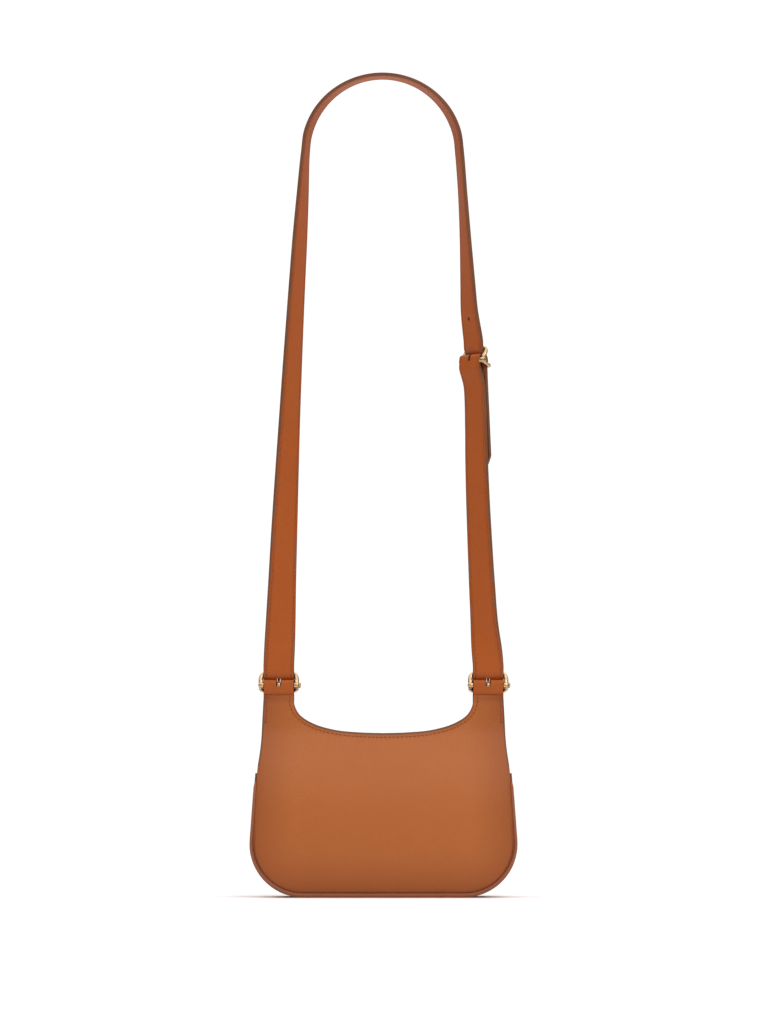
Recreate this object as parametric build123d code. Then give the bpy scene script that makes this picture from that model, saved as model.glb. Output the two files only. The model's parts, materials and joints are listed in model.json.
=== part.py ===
from build123d import *
import math
import os

# A small leather sling bag: a wedge-shaped body with a plain back, a flap over the front, and one
# long adjustable strap held by three pin buckles.
# Axes, millimetres: X across the bag, Y from the plain back (-) to the flap (+), Z up.
# Origin: the centre of the flat base, on the surface that the bag stands on.

# ---- driving dimensions ----
BODY_HALF_WIDTH = 90.7
CORNER_RADIUS = 36.0
SIDE_LEAN = 3.9
GUSSET_TOP = 87.0
LEATHER = 1.4
LINING = 0.7
GAP = 0.1
WELT = 2.2
PIPING_DEPTH = 2.6
PIPING_PROUD = 0.3
LAYERS_REACH = 120.0

EAR_X = 71.5
EAR_HALF_WIDTH = 10.25
EAR_TOP = 137.0
EAR_PLANE = 2.6
CORE_HALF = 1.1
SCOOP_Z = 111.2
YOKE_BOTTOM = 108.9
FLAP_TOP = 107.5
FLAP_BOTTOM = 32.0
FLAP_CORNER = 35.0
FLAP_CORNER_X = 50.6
FLAP_TOP_HALF_WIDTH = 81.6
FLAP_SHOULDER = (83.8, 88.0)

BAR_Z = 143.8
BAR_RADIUS = 1.2
FOLD_CLEARANCE = 0.15
TAB_FOLD = 1.1
PRONG_SLOT = 4.4
TAB_BOTTOM = 118.0

WIRE = 2.6
FRAME_WIDTH = 27.6
TOP_BAR = (4.2, 8.5)
LOW_BAR = (7.3, -3.6)
KNOB_RADIUS = 1.9
KNOB_LENGTH = 1.2
PRONG_RADIUS = 0.9

STRAP_WIDTH = 21.0
STRAP_THICKNESS = 2.4
STRAP_TOP_Y = 0.9
STRAP_TOP_Z = 10.4
EAR_TIP = 28.0
TAIL_TIP = 75.0
TIP_TAPER = 9.0
TIP_HALF_WIDTH = 2.5
ARCH_RADIUS = 52.9
ARCH_CENTRE_X = -0.7
ARCH_CENTRE_Z = 509.4
ARCH_TWIST = 76.0
LEG_STEPS = 12
LEFT_BOW = 1.5
RIGHT_BOW = 0.3
LEFT_TWIST_POWER = 0.5
RIGHT_TWIST_POWER = 0.62
STRAP_BUCKLE_X = 60.8
STRAP_BUCKLE_Y = 1.0
STRAP_BUCKLE_Z = 366.0
STRAP_BUCKLE_TURN = 56.0
STRAP_FOLD_LENGTH = 9.0
HOLE_Z = 395.0
HOLE_RADIUS = 1.3

SNAP_Z = 43.0
SNAP_RADIUS = 6.5
WASHER_RADIUS = 5.0
SNAP_STEM = 1.5
SOCKET_DEPTH = 1.2
MAGNET_DEPTH = 1.2
WASHER = 0.5
LINING_ROOM = 0.6
SNAP_REACH = 60.0

# Side views as (Y, Z) points, from the base up: the outer faces of the back, the front and the flap.
BACK_PROFILE = [
    (-25.5, 0.0), (-28.0, 30.0), (-27.4, 50.0), (-24.0, 70.0),
    (-17.4, 88.0), (-9.8, 102.0), (-4.6, 112.0), (-EAR_PLANE, 124.0),
]
FRONT_PROFILE = [(21.0, 0.0), (22.4, 28.0), (22.2, 52.0), (19.2, 70.0), (13.4, 90.0)]
FLAP_PROFILE = [
    (28.6, 28.0), (28.9, 38.0), (28.7, 50.0), (25.2, 70.0),
    (17.6, 88.0), (8.0, 101.5), (EAR_PLANE, 107.5),
]
FRONT_TANGENT = (-1, 3)
FLAP_TANGENT = (-1, 1.3)
PROFILE_TOP = EAR_TOP + 10.0


def across(face):
    """Stretches a side view along X, right through the bag."""
    return extrude(Plane.YZ * face, amount=LAYERS_REACH, both=True)


def through(face):
    """Stretches a back view along Y, right through the bag."""
    return extrude(Plane.XZ * face, amount=LAYERS_REACH, both=True)


def block(x0, x1, y0, y1, z0, z1):
    """Box between two corners."""
    return Pos((x0 + x1) / 2, (y0 + y1) / 2, (z0 + z1) / 2) * Box(x1 - x0, y1 - y0, z1 - z0)


def layer_edge(profile, shift, end_tangent, straight_top):
    """One side of a sheet in side view: the profile moved along Y, with a straight top for the back."""
    start, second = profile[0], profile[1]
    rise = (second[0] - start[0], second[1] - start[1])
    curve = Spline([(y + shift, z) for y, z in profile], tangents=[rise, end_tangent])
    if not straight_top:
        return [curve]
    top_y = profile[-1][0] + shift
    return [curve, Line((top_y, profile[-1][1]), (top_y, PROFILE_TOP))]


def layer(profile, near, far, end_tangent=(0, 1), straight_top=False):
    """Side view of a sheet between two copies of a profile."""
    first = layer_edge(profile, near, end_tangent, straight_top)
    second = layer_edge(profile, far, end_tangent, straight_top)
    base = profile[0]
    top = (profile[-1][0], PROFILE_TOP if straight_top else profile[-1][1])
    caps = [Line((base[0] + near, base[1]), (base[0] + far, base[1]))]
    caps.append(Line((top[0] + near, top[1]), (top[0] + far, top[1])))
    return make_face(first + second + caps)


def back_layer(near, far):
    """Side view of a sheet along the back; distances are inward from its good face."""
    return layer(BACK_PROFILE, near, far, straight_top=True)


def front_layer(near, far):
    """Side view of a sheet along the front panel."""
    return layer(FRONT_PROFILE, near, far, end_tangent=FRONT_TANGENT)


def flap_layer(near, far):
    """Side view of a sheet along the flap."""
    return layer(FLAP_PROFILE, near, far, end_tangent=FLAP_TANGENT)


def side_point(inset, height):
    """Right edge of the body outline, moved in by inset, at a height on its straight side."""
    lean = math.radians(SIDE_LEAN)
    radius = CORNER_RADIUS - inset
    x = BODY_HALF_WIDTH - CORNER_RADIUS + radius * math.cos(lean)
    z = CORNER_RADIUS + radius * math.sin(lean)
    return (x - (height - z) * math.tan(lean), height)


def mirrored_face(right):
    """Face from the right half of an outline, which starts and ends on X = 0."""
    return make_face(right + [mirror(edge, about=Plane.YZ) for edge in right])


def outline_foot(inset):
    """Base, corner and straight side of the right half of the body outline."""
    centre_x = BODY_HALF_WIDTH - CORNER_RADIUS
    radius = CORNER_RADIUS - inset
    lean = math.radians(SIDE_LEAN)
    side = (centre_x + radius * math.cos(lean), CORNER_RADIUS + radius * math.sin(lean))
    base = Line((0, inset), (centre_x, inset))
    corner = CenterArc((centre_x, CORNER_RADIUS), radius, -90, 90 + SIDE_LEAN)
    return [base, corner, Line(side, side_point(inset, GUSSET_TOP))]


def body_outline(inset):
    """The body seen from behind, moved in by inset, with a level top."""
    shoulder = side_point(inset, GUSSET_TOP)
    return mirrored_face(outline_foot(inset) + [Line(shoulder, (0, GUSSET_TOP))])


def panel_outline(inset=0.0):
    """The back panel with its two ears and the scooped top edge between them, moved in by inset."""
    shoulder = side_point(WELT + inset, GUSSET_TOP)
    ear_outer = EAR_X + EAR_HALF_WIDTH - inset
    ear_inner = EAR_X - EAR_HALF_WIDTH + inset
    top_z = EAR_TOP - inset
    lean = (-math.tan(math.radians(SIDE_LEAN)), 1)
    waist = [(83.3 - inset, 104.0), (82.4 - inset, 121.0)]
    outer = Spline([shoulder, *waist, (ear_outer, top_z)], tangents=[lean, (0, 1)])
    scoop_points = [(57.4, 124.0), (48.0, 117.8), (33.0, 113.4), (0, SCOOP_Z)]
    lowered = [(x + inset * x / ear_inner, z - inset) for x, z in scoop_points]
    scoop = Spline([(ear_inner, top_z), *lowered], tangents=[(0, -1), (-1, 0)])
    top = Line((ear_outer, top_z), (ear_inner, top_z))
    return mirrored_face(outline_foot(WELT + inset) + [outer, top, scoop])


def flap_outline(inset=0.0):
    """The flap seen from the front: level top at the hinge, broad rounded lower corners."""
    radius = FLAP_CORNER - inset
    centre_x, centre_z = FLAP_CORNER_X, FLAP_BOTTOM + FLAP_CORNER
    base = Line((0, FLAP_BOTTOM + inset), (centre_x, FLAP_BOTTOM + inset))
    corner = CenterArc((centre_x, centre_z), radius, -90, 90)
    shoulder = (FLAP_SHOULDER[0] - inset, FLAP_SHOULDER[1])
    top_corner = (FLAP_TOP_HALF_WIDTH - inset, FLAP_TOP)
    side = Spline([(centre_x + radius, centre_z), shoulder, top_corner], tangents=[(0, 1), (-0.1, 1)])
    return mirrored_face([base, corner, side, Line(top_corner, (0, FLAP_TOP))])


def height_range(low, high):
    """Slab across the whole bag between two heights."""
    reach = LAYERS_REACH
    return block(-reach, reach, -reach, reach, low, high)


def disc(y0, y1, radius, z=SNAP_Z):
    """Round plate across Y on the bag's centre plane."""
    return Pos(0, (y0 + y1) / 2, z) * Rot(90, 0, 0) * Cylinder(radius, y1 - y0)


# ---- body of the bag ----

def back_panel():
    """Plain back leather with its two ears."""
    return across(back_layer(0, LEATHER)) & through(panel_outline())


def back_stiffener():
    """Thin board between the back leather and its lining."""
    near = LEATHER + GAP
    board = across(back_layer(near, near + LINING))
    return board & through(body_outline(WELT + 2.5)) & height_range(6, 84)


def back_lining():
    """Cloth lining of the back, up to just under the yoke."""
    near = LEATHER + LINING + 2 * GAP
    body = across(back_layer(near, near + LINING))
    return body & through(panel_outline(2.2)) & height_range(7.5, 103)


def slip_pocket():
    """Flat patch pocket sewn on the back lining."""
    near = LEATHER + 2 * LINING + 3 * GAP
    patch = RectangleRounded(116, 52, 6)
    return across(back_layer(near, near + LINING)) & through(Pos(0, 46) * patch)


def front_panel():
    """Front leather under the flap, with a hole for the snap's stem."""
    body = across(front_layer(-LEATHER, 0)) & through(body_outline(WELT))
    return body - disc(0, SNAP_REACH, SNAP_STEM + GAP)


def front_lining():
    """Cloth lining of the front panel, clear of the snap's washer."""
    near = LEATHER + WASHER + LINING_ROOM
    sheet = across(front_layer(-near - LINING, -near))
    return sheet & through(body_outline(WELT + 1.6)) & height_range(7.5, 86)


def gusset_band(outer, inner, back_gap, front_gap, top):
    """Band round the sides and base, between the back and the front."""
    back_edge = layer_edge(BACK_PROFILE, back_gap, (0, 1), True)
    front_edge = layer_edge(FRONT_PROFILE, -front_gap, FRONT_TANGENT, False)
    last_z = FRONT_PROFILE[-1][1]
    back_start = (BACK_PROFILE[0][0] + back_gap, 0)
    front_start = (FRONT_PROFILE[0][0] - front_gap, 0)
    back_top = (BACK_PROFILE[-1][0] + back_gap, PROFILE_TOP)
    front_top = (FRONT_PROFILE[-1][0] - front_gap, last_z)
    closing = [Line(back_start, front_start), Line(front_top, (front_top[0], PROFILE_TOP))]
    closing.append(Line((front_top[0], PROFILE_TOP), back_top))
    room = across(make_face(back_edge + front_edge + closing))
    ring = body_outline(outer) - body_outline(inner)
    return room & through(ring) & height_range(outer, top)


def gusset():
    """Leather band that joins the back to the front."""
    depth = PIPING_DEPTH - PIPING_PROUD + GAP
    return gusset_band(0, LEATHER, depth, depth, GUSSET_TOP - 3)


def gusset_lining():
    """Cloth band inside the gusset."""
    back = LEATHER + 2 * LINING + 4 * GAP
    front = LEATHER + WASHER + LINING_ROOM + LINING + GAP
    near = WELT + 1.7
    return gusset_band(near, near + LINING, back, front, GUSSET_TOP - 6)


def piping(profile_layer):
    """Covered cord in the seam of a panel, as a band just proud of the leather."""
    ring = body_outline(0) - body_outline(WELT - GAP)
    return across(profile_layer) & through(ring) & height_range(0, GUSSET_TOP - 2.5)


def base_board():
    """Stiff board laid in the bottom, on the lining."""
    return block(-50, 50, -21, 16, 5.2, 6.6)


def top_core():
    """Firm core between the back and the yoke, cut round the two tabs."""
    core = block(-LAYERS_REACH, LAYERS_REACH, -CORE_HALF, CORE_HALF, 106.0, EAR_TOP)
    core &= through(panel_outline(0.4))
    for side in (-1, 1):
        x = side * EAR_X
        core -= block(x - 12, x + 12, -5, 5, 117.6, 150)
    return core


def flap_yoke():
    """Upper part of the flap leather, sewn to the back round the scoop and the ears."""
    yoke = block(-LAYERS_REACH, LAYERS_REACH, CORE_HALF + GAP, EAR_PLANE, YOKE_BOTTOM, EAR_TOP)
    return yoke & through(panel_outline())


def flap():
    """Flap leather, from the hinge line down over the front."""
    return across(flap_layer(-LEATHER, 0)) & through(flap_outline())


def flap_lining():
    """Lining of the flap, with a hole for the magnet's stem."""
    near = LEATHER + WASHER + LINING_ROOM
    body = across(flap_layer(-near - LINING, -near)) & through(flap_outline(2.0)) & height_range(0, 99)
    return body - disc(0, SNAP_REACH, SNAP_STEM + GAP)


# ---- hidden magnetic snap ----

def face_span(profile, end_tangent):
    """Least and greatest Y of a face over the height of the snap."""
    curve = layer_edge(profile, 0, end_tangent, False)[0]
    points = [curve @ (step / 200) for step in range(201)]
    near = [p.X for p in points if abs(p.Y - SNAP_Z) < SNAP_RADIUS + 0.5]
    return min(near), max(near)


FRONT_SPAN = face_span(FRONT_PROFILE, FRONT_TANGENT)
FLAP_SPAN = face_span(FLAP_PROFILE, FLAP_TANGENT)


def snap_socket():
    """Half on the front panel, with a stem through the leather."""
    low, high = FRONT_SPAN
    plate = disc(high + GAP, high + GAP + SOCKET_DEPTH, SNAP_RADIUS)
    return plate + disc(low - LEATHER - 2 * GAP - WASHER, high + GAP + 0.5, SNAP_STEM)


def snap_socket_washer():
    """Washer that holds the socket's stem behind the front leather."""
    face = FRONT_SPAN[0] - LEATHER - GAP
    return disc(face - WASHER, face, WASHER_RADIUS) - disc(face - 5, face + 5, SNAP_STEM + 0.05)


def snap_magnet():
    """Half on the flap, with a stem through the flap lining."""
    low = FLAP_SPAN[0] - LEATHER - WASHER - LINING - LINING_ROOM - GAP
    plate = disc(low - MAGNET_DEPTH, low, SNAP_RADIUS)
    return plate + disc(low - 0.5, FLAP_SPAN[0] - LEATHER - GAP, SNAP_STEM)


def snap_magnet_washer():
    """Washer that holds the magnet's stem behind the flap leather."""
    face = FLAP_SPAN[0] - LEATHER - GAP
    return disc(face - WASHER, face, WASHER_RADIUS) - disc(face - 5, face + 5, SNAP_STEM + 0.05)


# ---- buckles, built with the bar's axis on X through the origin ----

def rod(y, z, radius, half_length):
    """Round wire along X."""
    return Pos(0, y, z) * Rot(0, 90, 0) * Cylinder(radius, 2 * half_length)


def buckle_frame():
    """Bowed rectangular frame: two cross wires joined by swept-back sides with a hole for the bar."""
    side_line = Polyline(TOP_BAR, (1.1, 3.2), (0, 0), (2.4, -2.7), LOW_BAR)
    side = trace(side_line, line_width=WIRE) + Circle(BAR_RADIUS + 0.9)
    frame = rod(*TOP_BAR, WIRE / 2, FRAME_WIDTH / 2) + rod(*LOW_BAR, WIRE / 2, FRAME_WIDTH / 2)
    for sign in (-1, 1):
        centre = sign * (FRAME_WIDTH - WIRE) / 2
        frame += Pos(centre, 0, 0) * extrude(Plane.YZ * side, amount=WIRE / 2, both=True)
    middle = (TOP_BAR[1] + LOW_BAR[1]) / 2
    height = TOP_BAR[1] - LOW_BAR[1] + WIRE
    rim = Pos(0, middle) * RectangleRounded(FRAME_WIDTH, height, 3.2)
    return (frame & through(rim)) - rod(0, 0, BAR_RADIUS + 0.02, FRAME_WIDTH)


def buckle_bar():
    """Bar with a small turned knob on one end."""
    bar = rod(0, 0, BAR_RADIUS, FRAME_WIDTH / 2)
    knob = Pos(FRAME_WIDTH / 2 + KNOB_LENGTH / 2, 0, 0) * Rot(0, 90, 0) * Cylinder(KNOB_RADIUS, KNOB_LENGTH)
    return bar + knob


def buckle_prong():
    """Ring round the bar and a bent wire that lies over the top wire of the frame."""
    ring = rod(0, 0, 2.3, 1.4) - rod(0, 0, BAR_RADIUS + 0.08, 5)
    path = FilletPolyline((0, 0.5, 1.8), (0, 3.0, 4.0), (0, 6.4, 6.3), (0, 7.1, 10.0), radius=1.2)
    start = Plane(origin=path @ 0, z_dir=path % 0)
    wire = sweep(start * Circle(PRONG_RADIUS), path=path)
    return ring + (wire - rod(0, 0, 1.9, 5))


def fold(width, half_thickness, wall, length):
    """Leather folded round the bar, closed below it, with a slot for the prong."""
    inner = BAR_RADIUS + FOLD_CLEARANCE
    section = Circle(inner + wall) + Pos(0, -length / 2) * Rectangle(2 * half_thickness, length)
    section -= Circle(inner)
    body = extrude(Plane.YZ * section, amount=width / 2, both=True)
    return body - block(-PRONG_SLOT / 2, PRONG_SLOT / 2, -9, 9, -inner - 1.6, 9)


def strap_end(tail):
    """Strap from the top of a buckle, over the bar and under the low wire, to its pointed tip."""
    flare = 4.7 + (tail - 4) * 0.05
    line = [(STRAP_TOP_Y, STRAP_TOP_Z), (1.25, 8.6), (4.3, 1.0), (4.55, -3.6), (flare, -tail)]
    course = Spline(line, tangents=[(0, -1), (0.06, -1)])
    body = extrude(Plane.YZ * trace(course, line_width=STRAP_THICKNESS), amount=STRAP_WIDTH / 2, both=True)
    half = STRAP_WIDTH / 2
    tip = -tail
    shoulder = tip + TIP_TAPER
    shape = Polyline(
        (-half, 20), (half, 20), (half, shoulder), (TIP_HALF_WIDTH, tip),
        (-TIP_HALF_WIDTH, tip), (-half, shoulder), close=True
    )
    body &= through(make_face(shape))
    return body - (Pos(0, 0, 4.3) * Box(2.8, 20, 6.6))


def at_left(thing):
    """Moves a buckle piece from the origin to the left ear's bar."""
    return Pos(-EAR_X, 0, BAR_Z) * thing


def at_right(thing):
    """Moves a buckle piece from the origin to the right ear's bar."""
    return Pos(EAR_X, 0, BAR_Z) * thing


def at_strap(thing):
    """Moves a buckle piece from the origin to the strap buckle's bar and turns it with the strap."""
    return Pos(STRAP_BUCKLE_X, STRAP_BUCKLE_Y, STRAP_BUCKLE_Z) * Rot(0, 0, -STRAP_BUCKLE_TURN) * thing


# ---- strap ----

def station(centre, along, twist):
    """Cross-section of the strap from its centre, its travel and the turn of its width out of the XZ plane."""
    travel = Vector(*along).normalized()
    flat = Vector(travel.Z, 0, -travel.X)
    width = flat * math.cos(math.radians(twist)) + Vector(0, math.sin(math.radians(twist)), 0)
    return Plane(origin=centre, x_dir=width, z_dir=travel) * Rectangle(STRAP_WIDTH, STRAP_THICKNESS)


def leg_x(side, rise, bow):
    """Distance from the centre plane along a leg: rise is 0 at the ear buckle and 1 at the arch."""
    foot = EAR_X * side
    head = ARCH_CENTRE_X + ARCH_RADIUS * side
    return foot + (head - foot) * rise + side * bow * 4 * rise * (1 - rise)


def leg_station(side, rise, bow, twist_power):
    """Section of one leg, on the +X side for 1 and -X for -1; the right leg is travelled downwards."""
    foot_z = BAR_Z + STRAP_TOP_Z
    step = 0.02
    height = ARCH_CENTRE_Z - foot_z
    lean = (leg_x(side, rise + step, bow) - leg_x(side, rise - step, bow)) / (2 * step * height)
    upward = -side
    centre = (leg_x(side, rise, bow), STRAP_TOP_Y, foot_z + rise * height)
    return station(centre, (lean * upward, 0, upward), ARCH_TWIST * rise**twist_power)


def arch_station(angle):
    """Section of the half circle over the top, from 0 at the left to 180 at the right."""
    turn = math.radians(angle)
    x = ARCH_CENTRE_X - ARCH_RADIUS * math.cos(turn)
    z = ARCH_CENTRE_Z + ARCH_RADIUS * math.sin(turn)
    twist = 90 - (90 - ARCH_TWIST) * abs(math.cos(turn))
    return station((x, STRAP_TOP_Y, z), (math.sin(turn), 0, math.cos(turn)), twist)


def buckle_station(height, y):
    """Section at the strap buckle, at a height above or below its bar and a place across it."""
    turn = math.radians(STRAP_BUCKLE_TURN)
    x = STRAP_BUCKLE_X + y * math.sin(turn)
    centre = (x, STRAP_BUCKLE_Y + y * math.cos(turn), STRAP_BUCKLE_Z + height)
    return station(centre, (0, 0, -1), STRAP_BUCKLE_TURN)


def long_strap():
    """From the left ear buckle, over the arch, to the strap buckle and its hanging tail."""
    foot = station((-EAR_X, STRAP_TOP_Y, BAR_Z + STRAP_TOP_Z), (0, 0, 1), 0)
    sections = [foot]
    for step in range(1, LEG_STEPS):
        sections.append(leg_station(-1, step / LEG_STEPS, LEFT_BOW, LEFT_TWIST_POWER))
    for angle in range(0, 181, 30):
        sections.append(arch_station(angle))
    for step in (11, 10, 9, 8.2):
        sections.append(leg_station(1, step / LEG_STEPS, RIGHT_BOW, RIGHT_TWIST_POWER))
    sections.append(buckle_station(STRAP_TOP_Z, STRAP_TOP_Y))
    strap = loft(sections) + at_left(strap_end(EAR_TIP)) + at_strap(strap_end(TAIL_TIP))
    hole = Rot(0, 0, -STRAP_BUCKLE_TURN) * Rot(90, 0, 0) * Cylinder(HOLE_RADIUS, 20)
    return strap - Pos(STRAP_BUCKLE_X - 1.0, STRAP_BUCKLE_Y, HOLE_Z) * hole


def short_strap():
    """From the fold on the strap buckle's bar down to the right ear buckle."""
    sections = [buckle_station(-STRAP_FOLD_LENGTH, 0)]
    for step in (6, 5, 4, 3, 2, 1):
        sections.append(leg_station(1, step / LEG_STEPS, RIGHT_BOW, RIGHT_TWIST_POWER))
    sections.append(station((EAR_X, STRAP_TOP_Y, BAR_Z + STRAP_TOP_Z), (0, 0, -1), 0))
    end = fold(STRAP_WIDTH, STRAP_THICKNESS / 2, STRAP_THICKNESS / 2, STRAP_FOLD_LENGTH)
    return loft(sections) + at_right(strap_end(EAR_TIP)) + at_strap(end)


def bar_tab():
    """Leather tab that wraps a bar and is sewn between the ear's two leathers."""
    return fold(2 * EAR_HALF_WIDTH - 0.4, CORE_HALF, TAB_FOLD, BAR_Z - TAB_BOTTOM)


PIECES = {
    "back_panel": back_panel,
    "back_stiffener": back_stiffener,
    "back_lining": back_lining,
    "slip_pocket": slip_pocket,
    "front_panel": front_panel,
    "front_lining": front_lining,
    "gusset": gusset,
    "gusset_lining": gusset_lining,
    "back_piping": lambda: piping(back_layer(-PIPING_PROUD, PIPING_DEPTH - PIPING_PROUD)),
    "front_piping": lambda: piping(front_layer(PIPING_PROUD - PIPING_DEPTH, PIPING_PROUD)),
    "base_board": base_board,
    "top_core": top_core,
    "flap_yoke": flap_yoke,
    "flap": flap,
    "flap_lining": flap_lining,
    "snap_socket": snap_socket,
    "snap_socket_washer": snap_socket_washer,
    "snap_magnet": snap_magnet,
    "snap_magnet_washer": snap_magnet_washer,
    "left_bar_tab": lambda: at_left(bar_tab()),
    "right_bar_tab": lambda: at_right(bar_tab()),
    "long_strap": long_strap,
    "short_strap": short_strap,
}

for place, put in (("left", at_left), ("right", at_right), ("strap", at_strap)):
    PIECES[f"{place}_buckle_frame"] = lambda put=put: put(buckle_frame())
    PIECES[f"{place}_buckle_bar"] = lambda put=put: put(buckle_bar())
    PIECES[f"{place}_buckle_prong"] = lambda put=put: put(buckle_prong())

os.makedirs("parts", exist_ok=True)
for name, make in PIECES.items():
    piece = make()
    export_step(piece, f"parts/{name}.step")
    print(name, len(piece.solids()), round(piece.volume, 1))
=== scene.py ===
import json
import logging
import math
from dataclasses import dataclass
from enum import Enum
from typing import Callable, Sequence

import bmesh
import bpy
from mathutils import Matrix, Vector, noise


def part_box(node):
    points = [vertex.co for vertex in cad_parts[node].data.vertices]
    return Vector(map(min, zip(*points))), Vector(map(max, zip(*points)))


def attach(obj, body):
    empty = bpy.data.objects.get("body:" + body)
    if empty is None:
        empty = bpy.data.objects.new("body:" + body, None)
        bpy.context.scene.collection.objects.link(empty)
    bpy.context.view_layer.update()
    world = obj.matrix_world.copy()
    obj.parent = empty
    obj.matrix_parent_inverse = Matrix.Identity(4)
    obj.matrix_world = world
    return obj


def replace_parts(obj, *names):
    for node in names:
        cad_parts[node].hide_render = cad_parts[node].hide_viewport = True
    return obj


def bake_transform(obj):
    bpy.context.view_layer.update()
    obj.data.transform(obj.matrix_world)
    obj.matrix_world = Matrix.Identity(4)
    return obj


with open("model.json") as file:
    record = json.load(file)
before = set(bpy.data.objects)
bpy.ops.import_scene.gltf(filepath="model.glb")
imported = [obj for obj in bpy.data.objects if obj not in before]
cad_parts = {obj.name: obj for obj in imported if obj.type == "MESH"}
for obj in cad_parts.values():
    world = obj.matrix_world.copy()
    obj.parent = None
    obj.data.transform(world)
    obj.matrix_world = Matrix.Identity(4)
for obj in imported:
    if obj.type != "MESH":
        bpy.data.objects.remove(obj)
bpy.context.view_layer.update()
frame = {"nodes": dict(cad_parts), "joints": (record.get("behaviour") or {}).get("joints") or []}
JOINTS = {joint["name"]: joint for joint in frame["joints"]}

LOG = logging.getLogger("sling_bag")
Place = Callable[[float, float, float], Vector]
Colour = tuple[float, float, float]
MM = 0.001


class Side(Enum):
    """Which way a sheet's good side faces."""

    BACK = -1
    FRONT = 1


# ---------------------------------------------------------------- shader maths


@dataclass(frozen=True)
class Value:
    """A shader number that takes part in Python expressions."""

    shader: "Shader"
    socket: bpy.types.NodeSocket

    def _math(self, operation: str, first: object, second: object = 0.0) -> "Value":
        """Add one Math node and return its result."""
        made = self.shader.node("ShaderNodeMath", {"operation": operation}, {0: first, 1: second})
        return Value(self.shader, made.outputs[0])

    def __add__(self, other: object) -> "Value":
        """Sum."""
        return self._math("ADD", self, other)

    def __sub__(self, other: object) -> "Value":
        """Difference."""
        return self._math("SUBTRACT", self, other)

    def __rsub__(self, other: object) -> "Value":
        """Difference the other way round."""
        return self._math("SUBTRACT", other, self)

    def __mul__(self, other: object) -> "Value":
        """Product."""
        return self._math("MULTIPLY", self, other)

    def clamped(self) -> "Value":
        """The number kept between 0 and 1."""
        return self._math("MAXIMUM", self._math("MINIMUM", self, 1.0), 0.0)

    __radd__ = __add__
    __rmul__ = __mul__


class Shader:
    """One material, with a node for each step of its look."""

    def __init__(self, name: str) -> None:
        """Start an empty material.

        Args:
            name: the material's name.
        """
        self.material = bpy.data.materials.new(name)
        self.material.use_nodes = True
        self.tree = self.material.node_tree
        self.tree.nodes.clear()
        self.place = self.node("ShaderNodeTexCoord").outputs["Object"]

    def node(self, kind: str, settings: dict | None = None,
             inputs: dict | None = None) -> bpy.types.Node:
        """Add one node.

        Args:
            kind: the node's type.
            settings: attributes, set before the inputs.
            inputs: socket name or number to a value, a Value or an output socket.

        Returns:
            The new node.
        """
        made = self.tree.nodes.new(kind)
        for key, setting in (settings or {}).items():
            setattr(made, key, setting)
        for key, given in (inputs or {}).items():
            given = given.socket if isinstance(given, Value) else given
            if isinstance(given, bpy.types.NodeSocket):
                self.tree.links.new(given, made.inputs[key])
            else:
                made.inputs[key].default_value = given
        return made

    def noise(self, scale: float, detail: float = 2.0, where: object = None) -> Value:
        """Cloudy noise from 0 to 1."""
        inputs = {"Vector": where or self.place, "Scale": scale, "Detail": detail, "Roughness": 0.55}
        return Value(self, self.node("ShaderNodeTexNoise", None, inputs).outputs[0])

    def cells(self, scale: float) -> Value:
        """Distance to the nearest of many scattered points."""
        made = self.node("ShaderNodeTexVoronoi", None, {"Vector": self.place, "Scale": scale})
        return Value(self, made.outputs["Distance"])

    def bands(self, scale: float, turn: Sequence[float], distortion: float = 0.0) -> Value:
        """Straight ribs across a turned axis.

        Args:
            scale: ribs in each unit of length.
            turn: turn about each axis, in radians.
            distortion: how wavy the ribs are.

        Returns:
            The ribs, from 0 to 1.
        """
        turned = self.node("ShaderNodeMapping", None, {"Vector": self.place, "Rotation": turn})
        inputs = {"Vector": turned.outputs[0], "Scale": scale, "Distortion": distortion}
        return Value(self, self.node("ShaderNodeTexWave", None, inputs).outputs["Fac"])

    def stretched(self, stretch: Sequence[float]) -> bpy.types.NodeSocket:
        """Object coordinates stretched along each axis."""
        return self.node("ShaderNodeMapping", None, {"Vector": self.place, "Scale": stretch}).outputs[0]

    def attribute(self, name: str) -> Value:
        """A number kept on the mesh's points."""
        return Value(self, self.node("ShaderNodeAttribute", {"attribute_name": name}).outputs["Fac"])

    def blend(self, share: Value, low: object, high: object) -> bpy.types.NodeSocket:
        """Colour between low and high.

        Args:
            share: how much of high is taken.
            low: colour at 0.
            high: colour at 1.

        Returns:
            The mixed colour.
        """
        low = (*low, 1.0) if isinstance(low, tuple) else low
        high = (*high, 1.0) if isinstance(high, tuple) else high
        made = self.node("ShaderNodeMix", {"data_type": "RGBA"}, {0: share, 6: low, 7: high})
        return made.outputs[2]

    def bump(self, height: Value, depth: float, strength: float = 1.0) -> bpy.types.NodeSocket:
        """Normal raised by a height, in metres."""
        inputs = {"Height": height, "Distance": depth, "Strength": strength}
        return self.node("ShaderNodeBump", None, inputs).outputs[0]

    def surface(self, inputs: dict) -> bpy.types.Material:
        """Finish with a Principled surface.

        Args:
            inputs: the surface's sockets.

        Returns:
            The finished material.
        """
        made = self.node("ShaderNodeBsdfPrincipled", None, inputs)
        self.node("ShaderNodeOutputMaterial", None, {"Surface": made.outputs[0]})
        return self.material


# ---------------------------------------------------------------- finishes


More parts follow.
